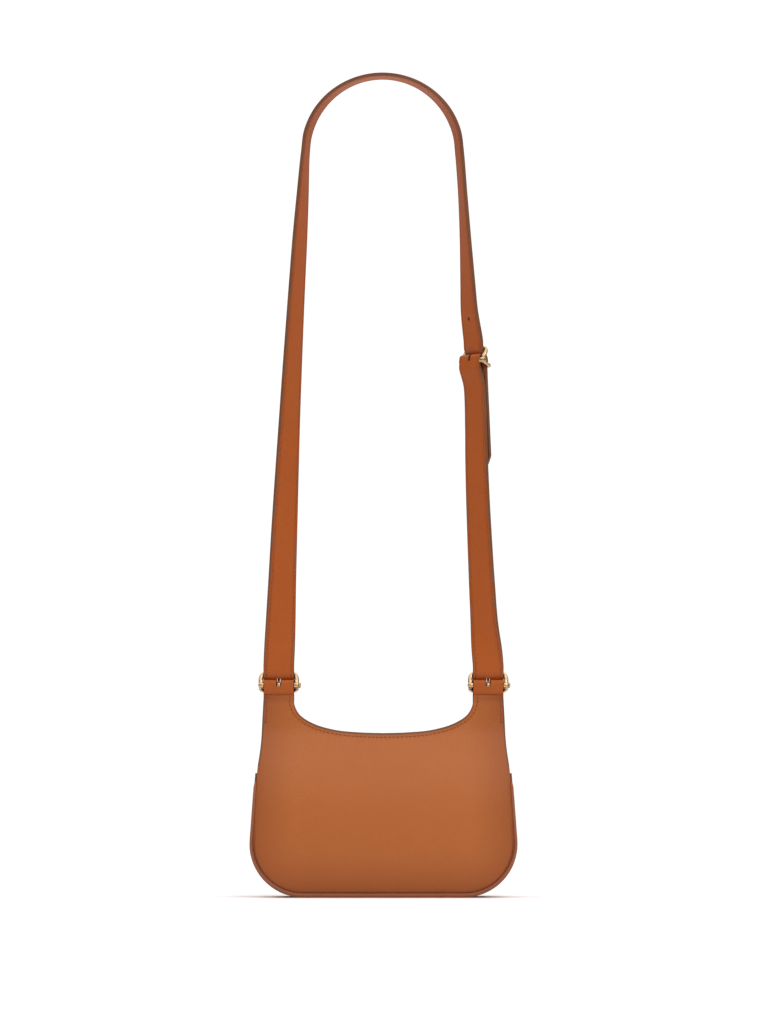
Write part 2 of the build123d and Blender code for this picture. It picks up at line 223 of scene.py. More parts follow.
@dataclass(frozen=True)
class Leather:
    """Smooth calf leather: soft clouds of tone, fine pores, a low sheen, and painted shade and edge darkening
    taken from the mesh's points.
    """

    name: str
    colour: Colour
    deep: Colour
    # Colour of the painted shade round the panels' outline and at the low seam, and of the darker strap
    # edges.
    painted_shade_and_edge_colour: Colour = (0.150, 0.026, 0.006)
    roughness: float = 0.5
    grain: float = 1.0
    gloss: float = 0.22

    def build(self) -> bpy.types.Material:
        """Make the material."""
        sh = Shader(self.name)
        clouds = sh.noise(13.0, 3.0)
        mottle = sh.noise(120.0, 4.0)
        pores = sh.cells(1250.0)
        creases = sh.noise(420.0, 5.0, sh.stretched((1.0, 1.0, 2.2)))
        tone = (clouds * 0.9 + mottle * 0.5 - 0.2).clamped()
        speckle = (pores * 1.4).clamped()
        body = sh.blend(tone, self.deep, self.colour)
        # Painted shade: the shade value kept on the mesh's points pulls the colour towards the shade colour
        # round the panels' outline and along the low seam; it also darkens a band below the panels' top edge
        # and the straps' edges.
        body = sh.blend(sh.attribute("painted_shade_and_edge_tone"), body, self.painted_shade_and_edge_colour)
        grained = sh.blend(speckle * 0.25 + 0.75, tuple(c * 0.72 for c in self.colour), body)
        height = pores * 0.55 + creases * 0.45
        return sh.surface({
            "Base Color": grained,
            "Roughness": mottle * 0.14 + creases * 0.08 + (self.roughness - 0.11),
            "Normal": sh.bump(height, 0.00022 * self.grain, 0.5),
            "Specular IOR Level": self.gloss,
        })


@dataclass(frozen=True)
class EdgePaint:
    """Rubbery paint along a cut edge, slightly uneven."""

    name: str
    colour: Colour

    def build(self) -> bpy.types.Material:
        """Make the material."""
        sh = Shader(self.name)
        waves = sh.noise(260.0, 3.0)
        wear = sh.noise(60.0, 4.0)
        worn = tuple(c * 0.62 for c in self.colour)
        colour = sh.blend((wear * 1.3 - 0.1).clamped(), worn, self.colour)
        return sh.surface({
            "Base Color": colour,
            "Roughness": waves * 0.2 + 0.34,
            "Normal": sh.bump(waves, 0.00012, 0.6),
            "Specular IOR Level": 0.2,
        })


@dataclass(frozen=True)
class Cloth:
    """Twill lining with fine slanting ribs."""

    name: str
    colour: Colour

    def build(self) -> bpy.types.Material:
        """Make the material."""
        sh = Shader(self.name)
        ribs = sh.bands(420.0, (0.0, math.radians(35), 0.0), 0.6)
        cross = sh.bands(520.0, (0.0, math.radians(-55), 0.0), 0.4)
        slubs = sh.noise(90.0, 3.0)
        weave = ribs * 0.65 + cross * 0.35
        shadow = tuple(c * 0.6 for c in self.colour)
        colour = sh.blend((weave * 0.7 + slubs * 0.3).clamped(), shadow, self.colour)
        return sh.surface({
            "Base Color": colour,
            "Roughness": slubs * 0.1 + 0.78,
            "Normal": sh.bump(weave, 0.00018, 0.7),
            "Sheen Weight": 0.2,
        })


@dataclass(frozen=True)
class Thread:
    """Waxed thread with a twist."""

    name: str
    colour: Colour

    def build(self) -> bpy.types.Material:
        """Make the material."""
        sh = Shader(self.name)
        twist = sh.bands(1500.0, (0.6, 0.7, 0.4))
        colour = sh.blend(twist, tuple(c * 0.55 for c in self.colour), self.colour)
        return sh.surface({
            "Base Color": colour,
            "Roughness": twist * 0.1 + 0.5,
            "Normal": sh.bump(twist, 0.00012, 0.8),
        })


@dataclass(frozen=True)
class Metal:
    """Plated metal with hairline polish marks."""

    name: str
    colour: Colour
    roughness: float = 0.16

    def build(self) -> bpy.types.Material:
        """Make the material."""
        sh = Shader(self.name)
        hairlines = sh.noise(500.0, 4.0, sh.stretched((0.25, 1.0, 3.0)))
        haze = sh.noise(140.0, 3.0)
        colour = sh.blend(haze, tuple(c * 0.86 for c in self.colour), self.colour)
        return sh.surface({
            "Base Color": colour,
            "Metallic": 1.0,
            "Roughness": haze * 0.12 + hairlines * 0.08 + (self.roughness - 0.06),
            "Normal": sh.bump(hairlines, 0.00003, 0.4),
        })


@dataclass(frozen=True)
class Board:
    """Pressed fibre board."""

    name: str
    colour: Colour

    def build(self) -> bpy.types.Material:
        """Make the material."""
        sh = Shader(self.name)
        fibres = sh.noise(700.0, 5.0, sh.stretched((0.3, 1.0, 1.0)))
        patches = sh.noise(45.0, 3.0)
        shadow = tuple(c * 0.7 for c in self.colour)
        colour = sh.blend((fibres * 0.6 + patches * 0.4).clamped(), shadow, self.colour)
        return sh.surface({
            "Base Color": colour,
            "Roughness": patches * 0.1 + 0.8,
            "Normal": sh.bump(fibres, 0.0001, 0.6),
        })


class Finishes:
    """Every finish on the bag, built once."""

    def __init__(self) -> None:
        """Build the materials."""
        self.panel = Leather("tan_panel_leather", (0.425, 0.122, 0.028), (0.375, 0.100, 0.021)).build()
        self.strap = Leather(
            "tan_strap_leather", (0.390, 0.088, 0.015), (0.345, 0.073, 0.011), roughness=0.46, gloss=0.16,
        ).build()
        self.piping = Leather(
            "tan_piping_leather", (0.290, 0.098, 0.042), (0.235, 0.080, 0.036), grain=0.6,
        ).build()
        self.edge = EdgePaint("brown_edge_paint", (0.185, 0.070, 0.032)).build()
        self.lining = Cloth("twill_lining", (0.250, 0.145, 0.082)).build()
        self.thread = Thread("tan_thread", (0.350, 0.078, 0.012)).build()
        self.metal = Metal("pale_gold_plate", (0.54, 0.36, 0.20), 0.2).build()
        self.snap = Metal("snap_plate", (0.62, 0.52, 0.38), 0.3).build()
        self.board = Board("fibre_board", (0.30, 0.22, 0.14)).build()


# ---------------------------------------------------------------- lines and profiles


def knots_of(points: Sequence[Vector]) -> list[float]:
    """Spacing numbers for a smooth line, from the square roots of the gaps.

    Args:
        points: the line's points.

    Returns:
        One rising number for each point.
    """
    knots = [0.0]
    for a, b in zip(points, points[1:]):
        knots.append(knots[-1] + math.sqrt(max((b - a).length, 1e-9)))
    return knots


def smooth_points(points: Sequence[Vector], steps: int = 12,
                  knots: Sequence[float] | None = None) -> list[Vector]:
    """Points on a smooth line through the given ones.

    Args:
        points: the points that the line passes through.
        steps: how many points from one to the next.
        knots: spacing numbers, if another line's are to be followed.

    Returns:
        The line's points.
    """
    given = [Vector(p) for p in points]
    knots = list(knots or knots_of(given))
    gaps = [b - a for a, b in zip(knots, knots[1:])]
    rises = [(b - a) / gap for a, b, gap in zip(given, given[1:], gaps)]
    slopes = [rises[0]]
    for before, after, gap, following in zip(rises, rises[1:], gaps, gaps[1:]):
        slopes.append((before * following + after * gap) / (gap + following))
    slopes.append(rises[-1])
    line = []
    for a, b, start, end, gap in zip(given, given[1:], slopes, slopes[1:], gaps):
        for step in range(steps):
            t = step / steps
            rest = 1 - t
            line.append(
                a * (rest * rest * (1 + 2 * t)) + b * (t * t * (3 - 2 * t))
                + (start * rest - end * t) * (gap * t * rest)
            )
    return [*line, given[-1]]


class Route:
    """A line measured along its length."""

    def __init__(self, points: Sequence[Vector]) -> None:
        """Measure the line.

        Args:
            points: closely spaced points along it.
        """
        self.points = [Vector(p) for p in points]
        self.marks = [0.0]
        for a, b in zip(self.points, self.points[1:]):
            self.marks.append(self.marks[-1] + (b - a).length)
        self.length = self.marks[-1]

    def find(self, distance: float) -> tuple[int, float]:
        """The stretch that holds a distance, and the share of it passed.

        Args:
            distance: distance from the start.

        Returns:
            The stretch's number, and a share from 0 to 1.
        """
        low, high = 0, len(self.marks) - 2
        while low < high:
            middle = (low + high + 1) // 2
            if self.marks[middle] <= distance:
                low = middle
            else:
                high = middle - 1
        span = self.marks[low + 1] - self.marks[low]
        return low, min(max((distance - self.marks[low]) / max(span, 1e-9), 0.0), 1.0)

    def at(self, distance: float) -> Vector:
        """Point at a distance from the start."""
        index, share = self.find(distance)
        return self.points[index].lerp(self.points[index + 1], share)

    def heading(self, distance: float, reach: float = 0.7 * MM) -> Vector:
        """Direction of travel at a distance."""
        start, end = max(distance - reach, 0.0), min(distance + reach, self.length)
        return (self.at(end) - self.at(start)).normalized()


class Curve:
    """A number that changes smoothly with another."""

    def __init__(self, pairs: Sequence[tuple[float, float]], scale: float = 1.0) -> None:
        """Keep the pairs.

        Args:
            pairs: places and the values there, places rising.
            scale: multiplies both.
        """
        self.spots = [p[0] * scale for p in pairs]
        self.values = [p[1] * scale for p in pairs]
        rises = [
            (v1 - v0) / (s1 - s0)
            for v0, v1, s0, s1 in zip(self.values, self.values[1:], self.spots, self.spots[1:])
        ]
        self.slopes = [rises[0], *[(a + b) / 2 for a, b in zip(rises, rises[1:])], rises[-1]]

    def at(self, spot: float) -> float:
        """Value at a place.

        Args:
            spot: the place.

        Returns:
            The value there.
        """
        spot = min(max(spot, self.spots[0]), self.spots[-1])
        index = max(i for i in range(len(self.spots) - 1) if self.spots[i] <= spot)
        span = self.spots[index + 1] - self.spots[index]
        t = (spot - self.spots[index]) / span
        rise = self.values[index + 1] - self.values[index]
        bend = self.slopes[index] * (1 - t) - self.slopes[index + 1] * t
        return self.values[index] + rise * t * t * (3 - 2 * t) + span * t * (1 - t) * bend


def smooth_step(value: float, low: float, high: float) -> float:
    """0 below low, 1 above high, and smooth between."""
    t = min(max((value - low) / (high - low), 0.0), 1.0)
    return t * t * (3 - 2 * t)


# ---------------------------------------------------------------- sheets and tubes


class Blank:
    """Flat piece of leather or cloth: cut, given its thickness, then laid in place."""

    def __init__(self, columns: Sequence[float], rows: Sequence[float]) -> None:
        """Mark out the flat piece.

        Args:
            columns: places of the lines across the piece.
            rows: places of the lines along the piece.
        """
        self.mesh = bmesh.new()
        last_column, last_row = len(columns) - 1, len(rows) - 1
        bmesh.ops.create_grid(self.mesh, x_segments=last_column, y_segments=last_row, size=0.5)
        for vert in self.mesh.verts:
            column = round((vert.co.x + 0.5) * last_column)
            row = round((vert.co.y + 0.5) * last_row)
            vert.co = (columns[column], rows[row], 0.0)

    def cut(self, inside: Callable[[float, float], bool]) -> None:
        """Take out the faces whose middle is inside a shape."""
        gone = [f for f in self.mesh.faces if inside(*f.calc_center_median().xy)]
        bmesh.ops.delete(self.mesh, geom=gone, context="FACES")

    def round_hole(self, x: float, y: float, radius: float) -> None:
        """Punch a round hole.

        Args:
            x: its middle across.
            y: its middle along.
            radius: its radius.
        """
        centre = Vector((x, y, 0.0))
        self.cut(lambda a, b: math.hypot(a - x, b - y) < radius)
        for vert in self.mesh.verts:
            if vert.is_boundary and (vert.co - centre).length < radius * 2.2:
                vert.co = centre + (vert.co - centre).normalized() * radius

    def paint(self, painted: Callable[[float, float], bool]) -> None:
        """Carry the edge paint onto the faces of a border.

        Args:
            painted: whether the face at a flat place is painted.
        """
        for face in self.mesh.faces:
            if painted(*face.calc_center_median().xy):
                face.material_index = 1

    def thicken(self, thickness: float) -> None:
        """Give the sheet its thickness, its good face at height 0.

        Args:
            thickness: height given to the flat sheet.
        """
        bmesh.ops.solidify(self.mesh, geom=self.mesh.faces[:], thickness=thickness)
        low = min(v.co.z for v in self.mesh.verts)
        for vert in self.mesh.verts:
            vert.co.z -= low
        self.mesh.normal_update()
        for face in self.mesh.faces:
            if abs(face.normal.z) < 0.5:
                face.material_index = 1
            elif face.calc_center_median().z > thickness / 2:
                face.material_index = 2

    def lay(self, place: Place,
            painted_shade_and_edge_tone: Callable[[Vector, Vector], float] = lambda flat, laid: 0.0) -> None:
        """Move every point to its place on the bag.

        Args:
            place: gives a flat point's place.
            painted_shade_and_edge_tone: painted shade and edge darkening from 0 to 1, from a point's flat and
                final places.
        """
        # The painted shade and edge darkening, kept on each point for the leather's colour.
        layer = self.mesh.verts.layers.float.new("painted_shade_and_edge_tone")
        for vert in self.mesh.verts:
            flat = vert.co.copy()
            vert.co = place(flat.x, flat.y, flat.z)
            vert[layer] = painted_shade_and_edge_tone(flat, vert.co)

    def soften(self, width: float, angle: float = 55.0) -> None:
        """Round the cut edges.

        Args:
            width: width of the rounding.
            angle: edges sharper than this are rounded, in degrees.
        """
        bmesh.ops.recalc_face_normals(self.mesh, faces=self.mesh.faces)
        limit = math.radians(angle)
        sharp = [e for e in self.mesh.edges if e.is_manifold and e.calc_face_angle(0.0) > limit]
        bmesh.ops.bevel(
            self.mesh, geom=sharp, offset=width, offset_type="OFFSET", segments=2, profile=0.5,
            affect="EDGES", material=-1, clamp_overlap=True,
        )


def make_piece(name: str, mesh: bmesh.types.BMesh,
               materials: Sequence[bpy.types.Material]) -> bpy.types.Object:
    """Turn a finished bmesh into a piece.

    Args:
        name: the piece's name.
        mesh: its shape, in place.
        materials: one for each material number.

    Returns:
        The new object.
    """
    bmesh.ops.recalc_face_normals(mesh, faces=mesh.faces)
    data = bpy.data.meshes.new(name)
    for face in mesh.faces:
        face.smooth = True
    mesh.to_mesh(data)
    mesh.free()
    for material in materials:
        data.materials.append(material)
    piece = bpy.data.objects.new(name, data)
    bpy.context.collection.objects.link(piece)
    LOG.info("made %s with %d faces", name, len(data.polygons))
    return piece


def even(start: float, end: float, count: int) -> list[float]:
    """Evenly spaced numbers, both ends counted."""
    return [start + (end - start) * i / count for i in range(count + 1)]


def add_tube(mesh: bmesh.types.BMesh, route: Route, radius: Callable[[float], float], rings: int,
             sides: int = 12, closed: bool = False, index: int = 0) -> None:
    """Add a round tube along a route.

    Args:
        mesh: where it goes.
        route: the tube's middle line.
        radius: radius at each distance along the route.
        rings: number of steps along the route.
        sides: number of steps round it.
        closed: whether the route ends where it starts.
        index: material number.
    """
    headings = [route.heading(route.length * i / rings) for i in range(rings + 1)]
    if closed:
        tie = (headings[0] + headings[-1]).normalized()
        headings[0] = headings[-1] = tie
    across = headings[0].orthogonal().normalized()
    frames = []
    for heading in headings:
        across = (across - heading * across.dot(heading)).normalized()
        frames.append((across.copy(), heading.cross(across)))
    part = bmesh.new()
    bmesh.ops.create_grid(part, x_segments=sides, y_segments=rings, size=0.5)
    for vert in part.verts:
        ring = round((vert.co.y + 0.5) * rings)
        turn = (vert.co.x + 0.5) * 2 * math.pi
        distance = route.length * ring / rings
        side, up = frames[ring]
        out = side * math.cos(turn) + up * math.sin(turn)
        vert.co = route.at(distance) + out * radius(distance)
    bmesh.ops.remove_doubles(part, verts=part.verts, dist=1e-7)
    if not closed:
        bmesh.ops.holes_fill(part, edges=[e for e in part.edges if e.is_boundary], sides=0)
    for face in part.faces:
        face.material_index = index
    bmesh.ops.recalc_face_normals(part, faces=part.faces)
    join(mesh, part)


def join(mesh: bmesh.types.BMesh, part: bmesh.types.BMesh) -> None:
    """Move a part's geometry into another mesh.

    Args:
        mesh: the mesh that grows.
        part: the mesh that goes into it.
    """
    held = bpy.data.meshes.new("held")
    part.to_mesh(held)
    part.free()
    mesh.from_mesh(held)
    bpy.data.meshes.remove(held)


class Stitching:
    """A run of raised stitches, kept in one mesh."""

    def __init__(self, length: float = 2.3 * MM, pitch: float = 2.8 * MM) -> None:
        """Set the stitch size.

        Args:
            length: length of one stitch.
            pitch: step from one stitch to the next.
        """
        self.mesh = bmesh.new()
        self.batch = bmesh.new()
        self.half = length / 2
        self.pitch = pitch

    def add(self, where: Vector, along: Vector, out: Vector) -> None:
        """Sew one stitch.

        Args:
            where: its middle, on the leather.
            along: direction of the seam.
            out: direction away from the leather.
        """
        along = along.normalized()
        side = out.cross(along).normalized()
        out = along.cross(side)
        turn = Matrix((along, side, out)).transposed().to_4x4()
        size = Matrix.Diagonal((self.half, 0.34 * MM, 0.26 * MM, 1.0))
        matrix = Matrix.Translation(where) @ turn @ size @ Matrix.Rotation(math.pi / 2, 4, "Y")
        bmesh.ops.create_uvsphere(self.batch, u_segments=6, v_segments=4, radius=1.0, matrix=matrix)
        if len(self.batch.faces) > 600:
            self.gather()

    def gather(self) -> None:
        """Move the latest stitches in with the rest."""
        join(self.mesh, self.batch)
        self.batch = bmesh.new()

    def follow(self, length: float, at: Callable[[float], tuple[Vector, Vector, Vector]]) -> None:
        """Sew along a line.

        Args:
            length: the line's length.
            at: gives a stitch's place, direction and outward side at a distance.
        """
        count = int(length / self.pitch)
        for i in range(count):
            self.add(*at((i + 0.5) * length / count))

    def finish(self, name: str, material: bpy.types.Material) -> bpy.types.Object:
        """Make the piece."""
        self.gather()
        return make_piece(name, self.mesh, [material])


# ---------------------------------------------------------------- the body of the bag


@dataclass
class BodyShape:
    """Outlines and faces that the body's pieces share, in metres."""

    half_width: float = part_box("gusset")[1][0]
    corner: float = 36.0 * MM
    lean: float = 3.9
    gusset_top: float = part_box("gusset")[1][2] + 3.0 * MM
    ear_top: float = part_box("back_panel")[1][2]
    ear_x: float = 71.5 * MM
    ear_half: float = 10.25 * MM
    welt_base: float = 2.9 * MM
    welt_side: float = 1.7 * MM

    def __post_init__(self) -> None:
        """Work out the side views."""
        self.back = Curve([
            (0, -25.5), (30, -28.0), (50, -27.4), (70, -24.0), (88, -17.4), (102, -9.8),
            (112, -4.6), (124, -2.6), (140, -2.6),
        ], MM)
        self.front = Curve([(0, 21.0), (28, 22.4), (52, 22.2), (70, 19.2), (90, 13.4)], MM)
        self.flap = Curve([
            (28, 28.6), (38, 28.9), (50, 28.7), (70, 25.2), (88, 17.6), (101.5, 8.0),
            (107.5, 3.2), (112, 2.6), (140, 2.6),
        ], MM)

    def rim(self, angle: float, inset: float) -> Vector:
        """Point on the right lower corner at an angle from +X.

        Args:
            angle: the angle, in degrees.
            inset: step in from the outline.

        Returns:
            The point.
        """
        turn = math.radians(angle)
        radius = self.corner - inset
        x = self.half_width - self.corner + radius * math.cos(turn)
        return Vector((x, 0.0, self.corner + radius * math.sin(turn)))

    def side(self, z: float, inset: float) -> Vector:
        """Point on the straight right side at a height."""
        start = self.rim(self.lean, inset)
        return Vector((start.x - (z - start.z) * math.tan(math.radians(self.lean)), 0.0, z))

    def welt(self, angle: float) -> float:
        """How far a panel stands back from the outline, from the base (-90) to the side (0)."""
        share = smooth_step(angle, -80.0, 0.0)
        return self.welt_base + (self.welt_side - self.welt_base) * share

    def edge_distance(self, x: float, z: float) -> float:
        """Distance in from the body's outline.

        Args:
            x: place across.
            z: height.

        Returns:
            The distance.
        """
        x = abs(x)
        centre_x = self.half_width - self.corner
        if x > centre_x and z < self.corner:
            return self.corner - math.hypot(x - centre_x, z - self.corner)
        if z < self.corner:
            return min(z, self.half_width - x)
        return min(z, self.side(z, 0.0).x - x)

    def foot(self, welted: bool, extra: float = 0.0) -> tuple[list[Vector], list[Vector]]:
        """Right half of the base, and the right side up to the gusset's top.

        Args:
            welted: whether the line stands back from the outline by the welt.
            extra: a further step in.

        Returns:
            The base from the centre to the corner's middle, and the side from there up.
        """
        def inset(angle: float) -> float:
            """Step in from the outline at an angle of the corner."""
            return (self.welt(angle) if welted else 0.0) + extra

        base = [Vector((x, 0.0, inset(-90))) for x in even(0.0, self.half_width - self.corner, 6)]
        base += [self.rim(a, inset(a)) for a in range(-84, -44, 6)]
        base.append(self.rim(-45, inset(-45)))
        side = [self.rim(a, inset(a)) for a in range(-45, 4, 6)]
        side += [self.side(z * MM, inset(0)) for z in (46, 54, 62, 70, 78)]
        side.append(self.side(self.gusset_top, inset(0)))
        return base, side

    def ear_side(self) -> list[Vector]:
        """Right outer edge above the gusset, up to the ear's top.

        Returns:
            The edge's points, going up.
        """
        outer = self.ear_x + self.ear_half
        points = [(84.1 * MM, 98 * MM), (83.3 * MM, 106 * MM), (82.6 * MM, 121 * MM),
                  (outer, self.ear_top)]
        return [Vector((x, 0.0, z)) for x, z in points]

    def scoop(self) -> list[Vector]:
        """Right half of the scooped edge, from the ear's inner corner to the centre.

        Returns:
            The edge's points.
        """
        inner = self.ear_x - self.ear_half
        points = [
            (inner, self.ear_top / MM), (60.9 * MM, 131), (57.4 * MM, 124.0), (48.0 * MM, 117.8),
            (33.0 * MM, 113.4), (16.0 * MM, 111.7), (0.0, 111.2),
        ]
        return smooth_points([Vector((x, 0.0, z * MM)) for x, z in points], 8)


def mirrored(points: Sequence[Vector]) -> list[Vector]:
    """The points reflected to the left."""
    return [Vector((-p.x, p.y, p.z)) for p in points]


class Patch:
    """Sheet stretched between four edge lines of the back view."""

    def __init__(self, base: Sequence[Vector], side: Sequence[Vector], top: Sequence[Vector]) -> None:
        """Set the edges from their right halves.

        Args:
            base: from the centre to the lower right corner.
            side: from the lower right corner up.
            top: from the upper right corner to the centre.
        """
        self.base = Route([*reversed(mirrored(base)), *base[1:]])
        self.left = Route(mirrored(side))
        self.right = Route(side)
        self.top = Route([*mirrored(top), *list(reversed(top))[1:]])

    def at(self, u: float, v: float) -> Vector:
        """Point of the sheet, both shares from 0 to 1.

        Args:
            u: share across.
            v: share up.

        Returns:
            The point.
        """
        base, top = self.base.at(u * self.base.length), self.top.at(u * self.top.length)
        left, right = self.left.at(v * self.left.length), self.right.at(v * self.right.length)
        ends = (self.base.points[0], self.base.points[-1], self.top.points[0], self.top.points[-1])
        mixed = base * (1 - v) + top * v + left * (1 - u) + right * u
        corners = (ends[0] * (1 - u) + ends[1] * u) * (1 - v) + (ends[2] * (1 - u) + ends[3] * u) * v
        return mixed - corners


@dataclass
class Body:
    """The bag's leather shell, its lining and its piping.

    Sizes are in metres, but ear_start, rim_u and rim_v are shares of a panel's sides and width.
    """

    finishes: Finishes
    shape: BodyShape
    leather: float = 1.4 * MM
    cloth: float = 0.7 * MM
    board: float = 0.5 * MM
    ear_start: float = 0.62
    rim_u: float = 0.0060
    rim_v: float = 0.0115
    fill: float = 2.2 * MM
    roll_width: float = 7.0 * MM
    back_roll: float = 1.9 * MM
    front_roll: float = 1.7 * MM
    flap_droop: float = 1.6 * MM
    flap_corner: float = 35 * MM
    flap_corner_x: float = 50.6 * MM
    flap_corner_z: float = 67 * MM
    front_top: float = 86.5 * MM
    lining_step: float = 2.6 * MM
    lining_gap: float = 2.9 * MM
    filler_half: float = 1.28 * MM
    filler_depth: float = 1.8 * MM
    pocket_half: float = 58 * MM
    pocket_base: float = 20 * MM
    pocket_top: float = 72 * MM
    seam_step: float = 2.9 * MM

    def back_y(self, x: float, z: float) -> float:
        """Good face of the back: filled out in the middle, rolled in at the welt.

        Args:
            x: place across.
            z: height.

        Returns:
            Y of the face.
        """
        shape = self.shape
        fade = 1 - smooth_step(z, 84 * MM, 100 * MM)
        fill = (1 - min(abs(x) / (84 * MM), 1.0) ** 2) * math.sin(math.pi * min(z / (104 * MM), 1.0))
        roll = max(1 - shape.edge_distance(x, z) / self.roll_width, 0.0) ** 2
        ripple = noise.noise(Vector((x * 22, 3.1, z * 26))) * 0.35 * MM
        return shape.back.at(z) - self.fill * fill + (self.back_roll * roll + ripple) * fade

    def front_y(self, x: float, z: float) -> float:
        """Good face of the front panel.

        Args:
            x: place across.
            z: height.

        Returns:
            Y of the face.
        """
        roll = max(1 - self.shape.edge_distance(x, z) / self.roll_width, 0.0) ** 2
        ripple = noise.noise(Vector((x * 22, 9.4, z * 26))) * 0.3 * MM
        return self.shape.front.at(z) - self.front_roll * roll + ripple - 0.2 * MM

    def droop(self, x: float) -> float:
        """How far the flap falls back towards its sides."""
        return smooth_step(abs(x), 50 * MM, 88 * MM) * self.flap_droop

    def flap_y(self, x: float, z: float) -> float:
        """Good face of the flap and the yoke above it.

        Args:
            x: place across.
            z: height.

        Returns:
            Y of the face.
        """
        fade = 1 - smooth_step(z, 90 * MM, 106 * MM)
        droop = self.droop(x)
        ripple = noise.noise(Vector((x * 20, 5.7, z * 24))) * 0.35 * MM
        return self.shape.flap.at(z) + (ripple - droop) * fade

    def panel(self, name: str, patch: Patch, face: Callable[[float, float], float], good: Side,
              thickness: float, grid: tuple[int, int], inner: bpy.types.Material,
              painted_from: float = 0.0) -> bpy.types.Object:
        """Cut one leather panel and lay it on its face.

        Args:
            name: the piece's name.
            patch: its outline.
            face: Y of its good face at X and Z.
            good: which way the good face looks.
            thickness: leather thickness.
            grid: steps across and up.
            inner: material of its inner face.
            painted_from: how far up the sides the edge paint starts, as a share.

        Returns:
            The panel.
        """
        rim_u, rim_v = self.rim_u, self.rim_v
        ear = 2 * self.shape.ear_half / patch.top.length if painted_from == self.ear_start else 0.0
        columns = [0.0, *even(rim_u, 1 - rim_u, grid[0]), 1.0]
        rows = [0.0, *even(rim_v, 1 - rim_v, grid[1]), 1.0]
        blank = Blank(columns, rows)
        blank.thicken(0.01)
        blank.paint(lambda u, v: (v > 1 - rim_v and min(u, 1 - u) > ear)
                    or (min(u, 1 - u) < rim_u and v > painted_from) or (v < rim_v and painted_from == 0.0))

        def place(u: float, v: float, depth: float) -> Vector:
            """Put a flat point on the panel's face.

            Args:
                u: share across.
                v: share up.
                depth: 0 on the good face, more on the other.

            Returns:
                The point's place.
            """
            at = patch.at(u, v)
            at.y = face(at.x, at.z) - good.value * thickness * (1 if depth > 0.005 else 0)
            return at

        def painted_shade_and_edge_tone(flat: Vector, laid: Vector) -> float:
            """Darkness of a point: painted shade, soft round the outline where the panel turns from the light
            and strong at the low seam where the welt shades it, and a darker band at the scoop.

            Args:
                flat: its place on the flat panel.
                laid: its place on the bag.

            Returns:
                Darkness from 0 to 1.
            """
            distance = self.shape.edge_distance(laid.x, laid.z)
            # Painted shade: darker round the outline, where the panel turns away from the light, and along
            # the low seam, where the welt shades it; brink darkens a band just below the top edge.
            soft = 0.5 * max(1 - distance / (32 * MM), 0.0) ** 1.4
            low = 1 - smooth_step(laid.z, 22 * MM, 62 * MM)
            seam = 0.5 * (1 - smooth_step(distance, 3.2 * MM, 4.4 * MM)) * low
            brink = 0.22 * smooth_step(flat.y, 0.955, 0.985)
            return min(soft + seam + brink, 1.0)

        blank.lay(place, painted_shade_and_edge_tone)
        blank.soften(0.3 * MM)
        return make_piece(name, blank.mesh, [self.finishes.panel, self.finishes.edge, inner])

    def back_patch(self) -> Patch:
        """Outline of the back with its ears.

        Returns:
            The outline.
        """
        base, side = self.shape.foot(welted=True)
        outer = smooth_points([side[-3], side[-1], *self.shape.ear_side()], 6)[6:]
        corner = self.shape.ear_side()[-1]
        inner = self.shape.scoop()
        top = [corner, *[corner.lerp(inner[0], t) for t in (0.25, 0.5, 0.75)], *inner]
        return Patch(base, [*side[:-1], *outer], top)

    def flap_patch(self, inset: float = 0.0, top: float | None = None) -> Patch:
        """Outline of the yoke and flap, cut in one.

        Args:
            inset: step in from the edge.
            top: height to cut it off level, below the yoke.

        Returns:
            The outline.
        """
        radius, centre_x, centre_z = self.flap_corner - inset, self.flap_corner_x, self.flap_corner_z

        def corner(angle: float) -> Vector:
            """Point on the flap's right lower corner."""
            turn = math.radians(angle)
            return Vector((centre_x + radius * math.cos(turn), 0.0, centre_z + radius * math.sin(turn)))

        base = [Vector((x, 0.0, centre_z - radius)) for x in even(0.0, centre_x, 6)]
        base += [corner(a) for a in range(-84, -44, 6)] + [corner(-45)]
        rise = [(85.2, 78), (83.7, 90), (81.8, 106), (82.0, 114), (82.4, 121)]
        side = [corner(a) for a in range(-45, 1, 5)]
        if top is not None:
            side += [Vector((x * MM - inset, 0.0, z * MM)) for x, z in rise if z * MM < top]
            edge = Vector((82.9 * MM - inset, 0.0, top))
            middle = Vector((0.0, 0.0, top))
            return Patch(base, [*side, edge], [edge.lerp(middle, t) for t in even(0.0, 1.0, 8)])
        ear = self.shape.ear_side()[-1]
        side += smooth_points([side[-1], *[Vector((x * MM, 0.0, z * MM)) for x, z in rise], ear], 5)[1:]
        inner = self.shape.scoop()
        top = [ear, *[ear.lerp(inner[0], t) for t in (0.25, 0.5, 0.75)], *inner]
        return Patch(base, side, top)

    def low_patch(self, welted: bool, extra: float, top: float) -> Patch:
        """Outline of a panel that ends level near the gusset's top.

        Args:
            welted: whether it stands back from the outline by the welt.
            extra: a further step in.
            top: height of its top edge.

        Returns:
            The outline.
        """
        base, side = self.shape.foot(welted, extra)
        side = [p for p in side if p.z < top - MM]
        if top > self.shape.gusset_top:
            rise = [Vector((p.x - extra, 0.0, p.z)) for p in self.shape.ear_side()]
            below, above = [p for p in rise if p.z <= top][-1], next(p for p in rise if p.z > top)
            side += [below, below.lerp(above, (top - below.z) / (above.z - below.z))]
        else:
            inset = (self.shape.welt(0.0) if welted else 0.0) + extra
            side.append(self.shape.side(top, inset))
        reach = side[-1].x
        lid = [Vector((x, 0.0, top - 1.5 * MM * (1 - (x / reach) ** 2))) for x in even(reach, 0.0, 8)]
        return Patch(base, side, lid)

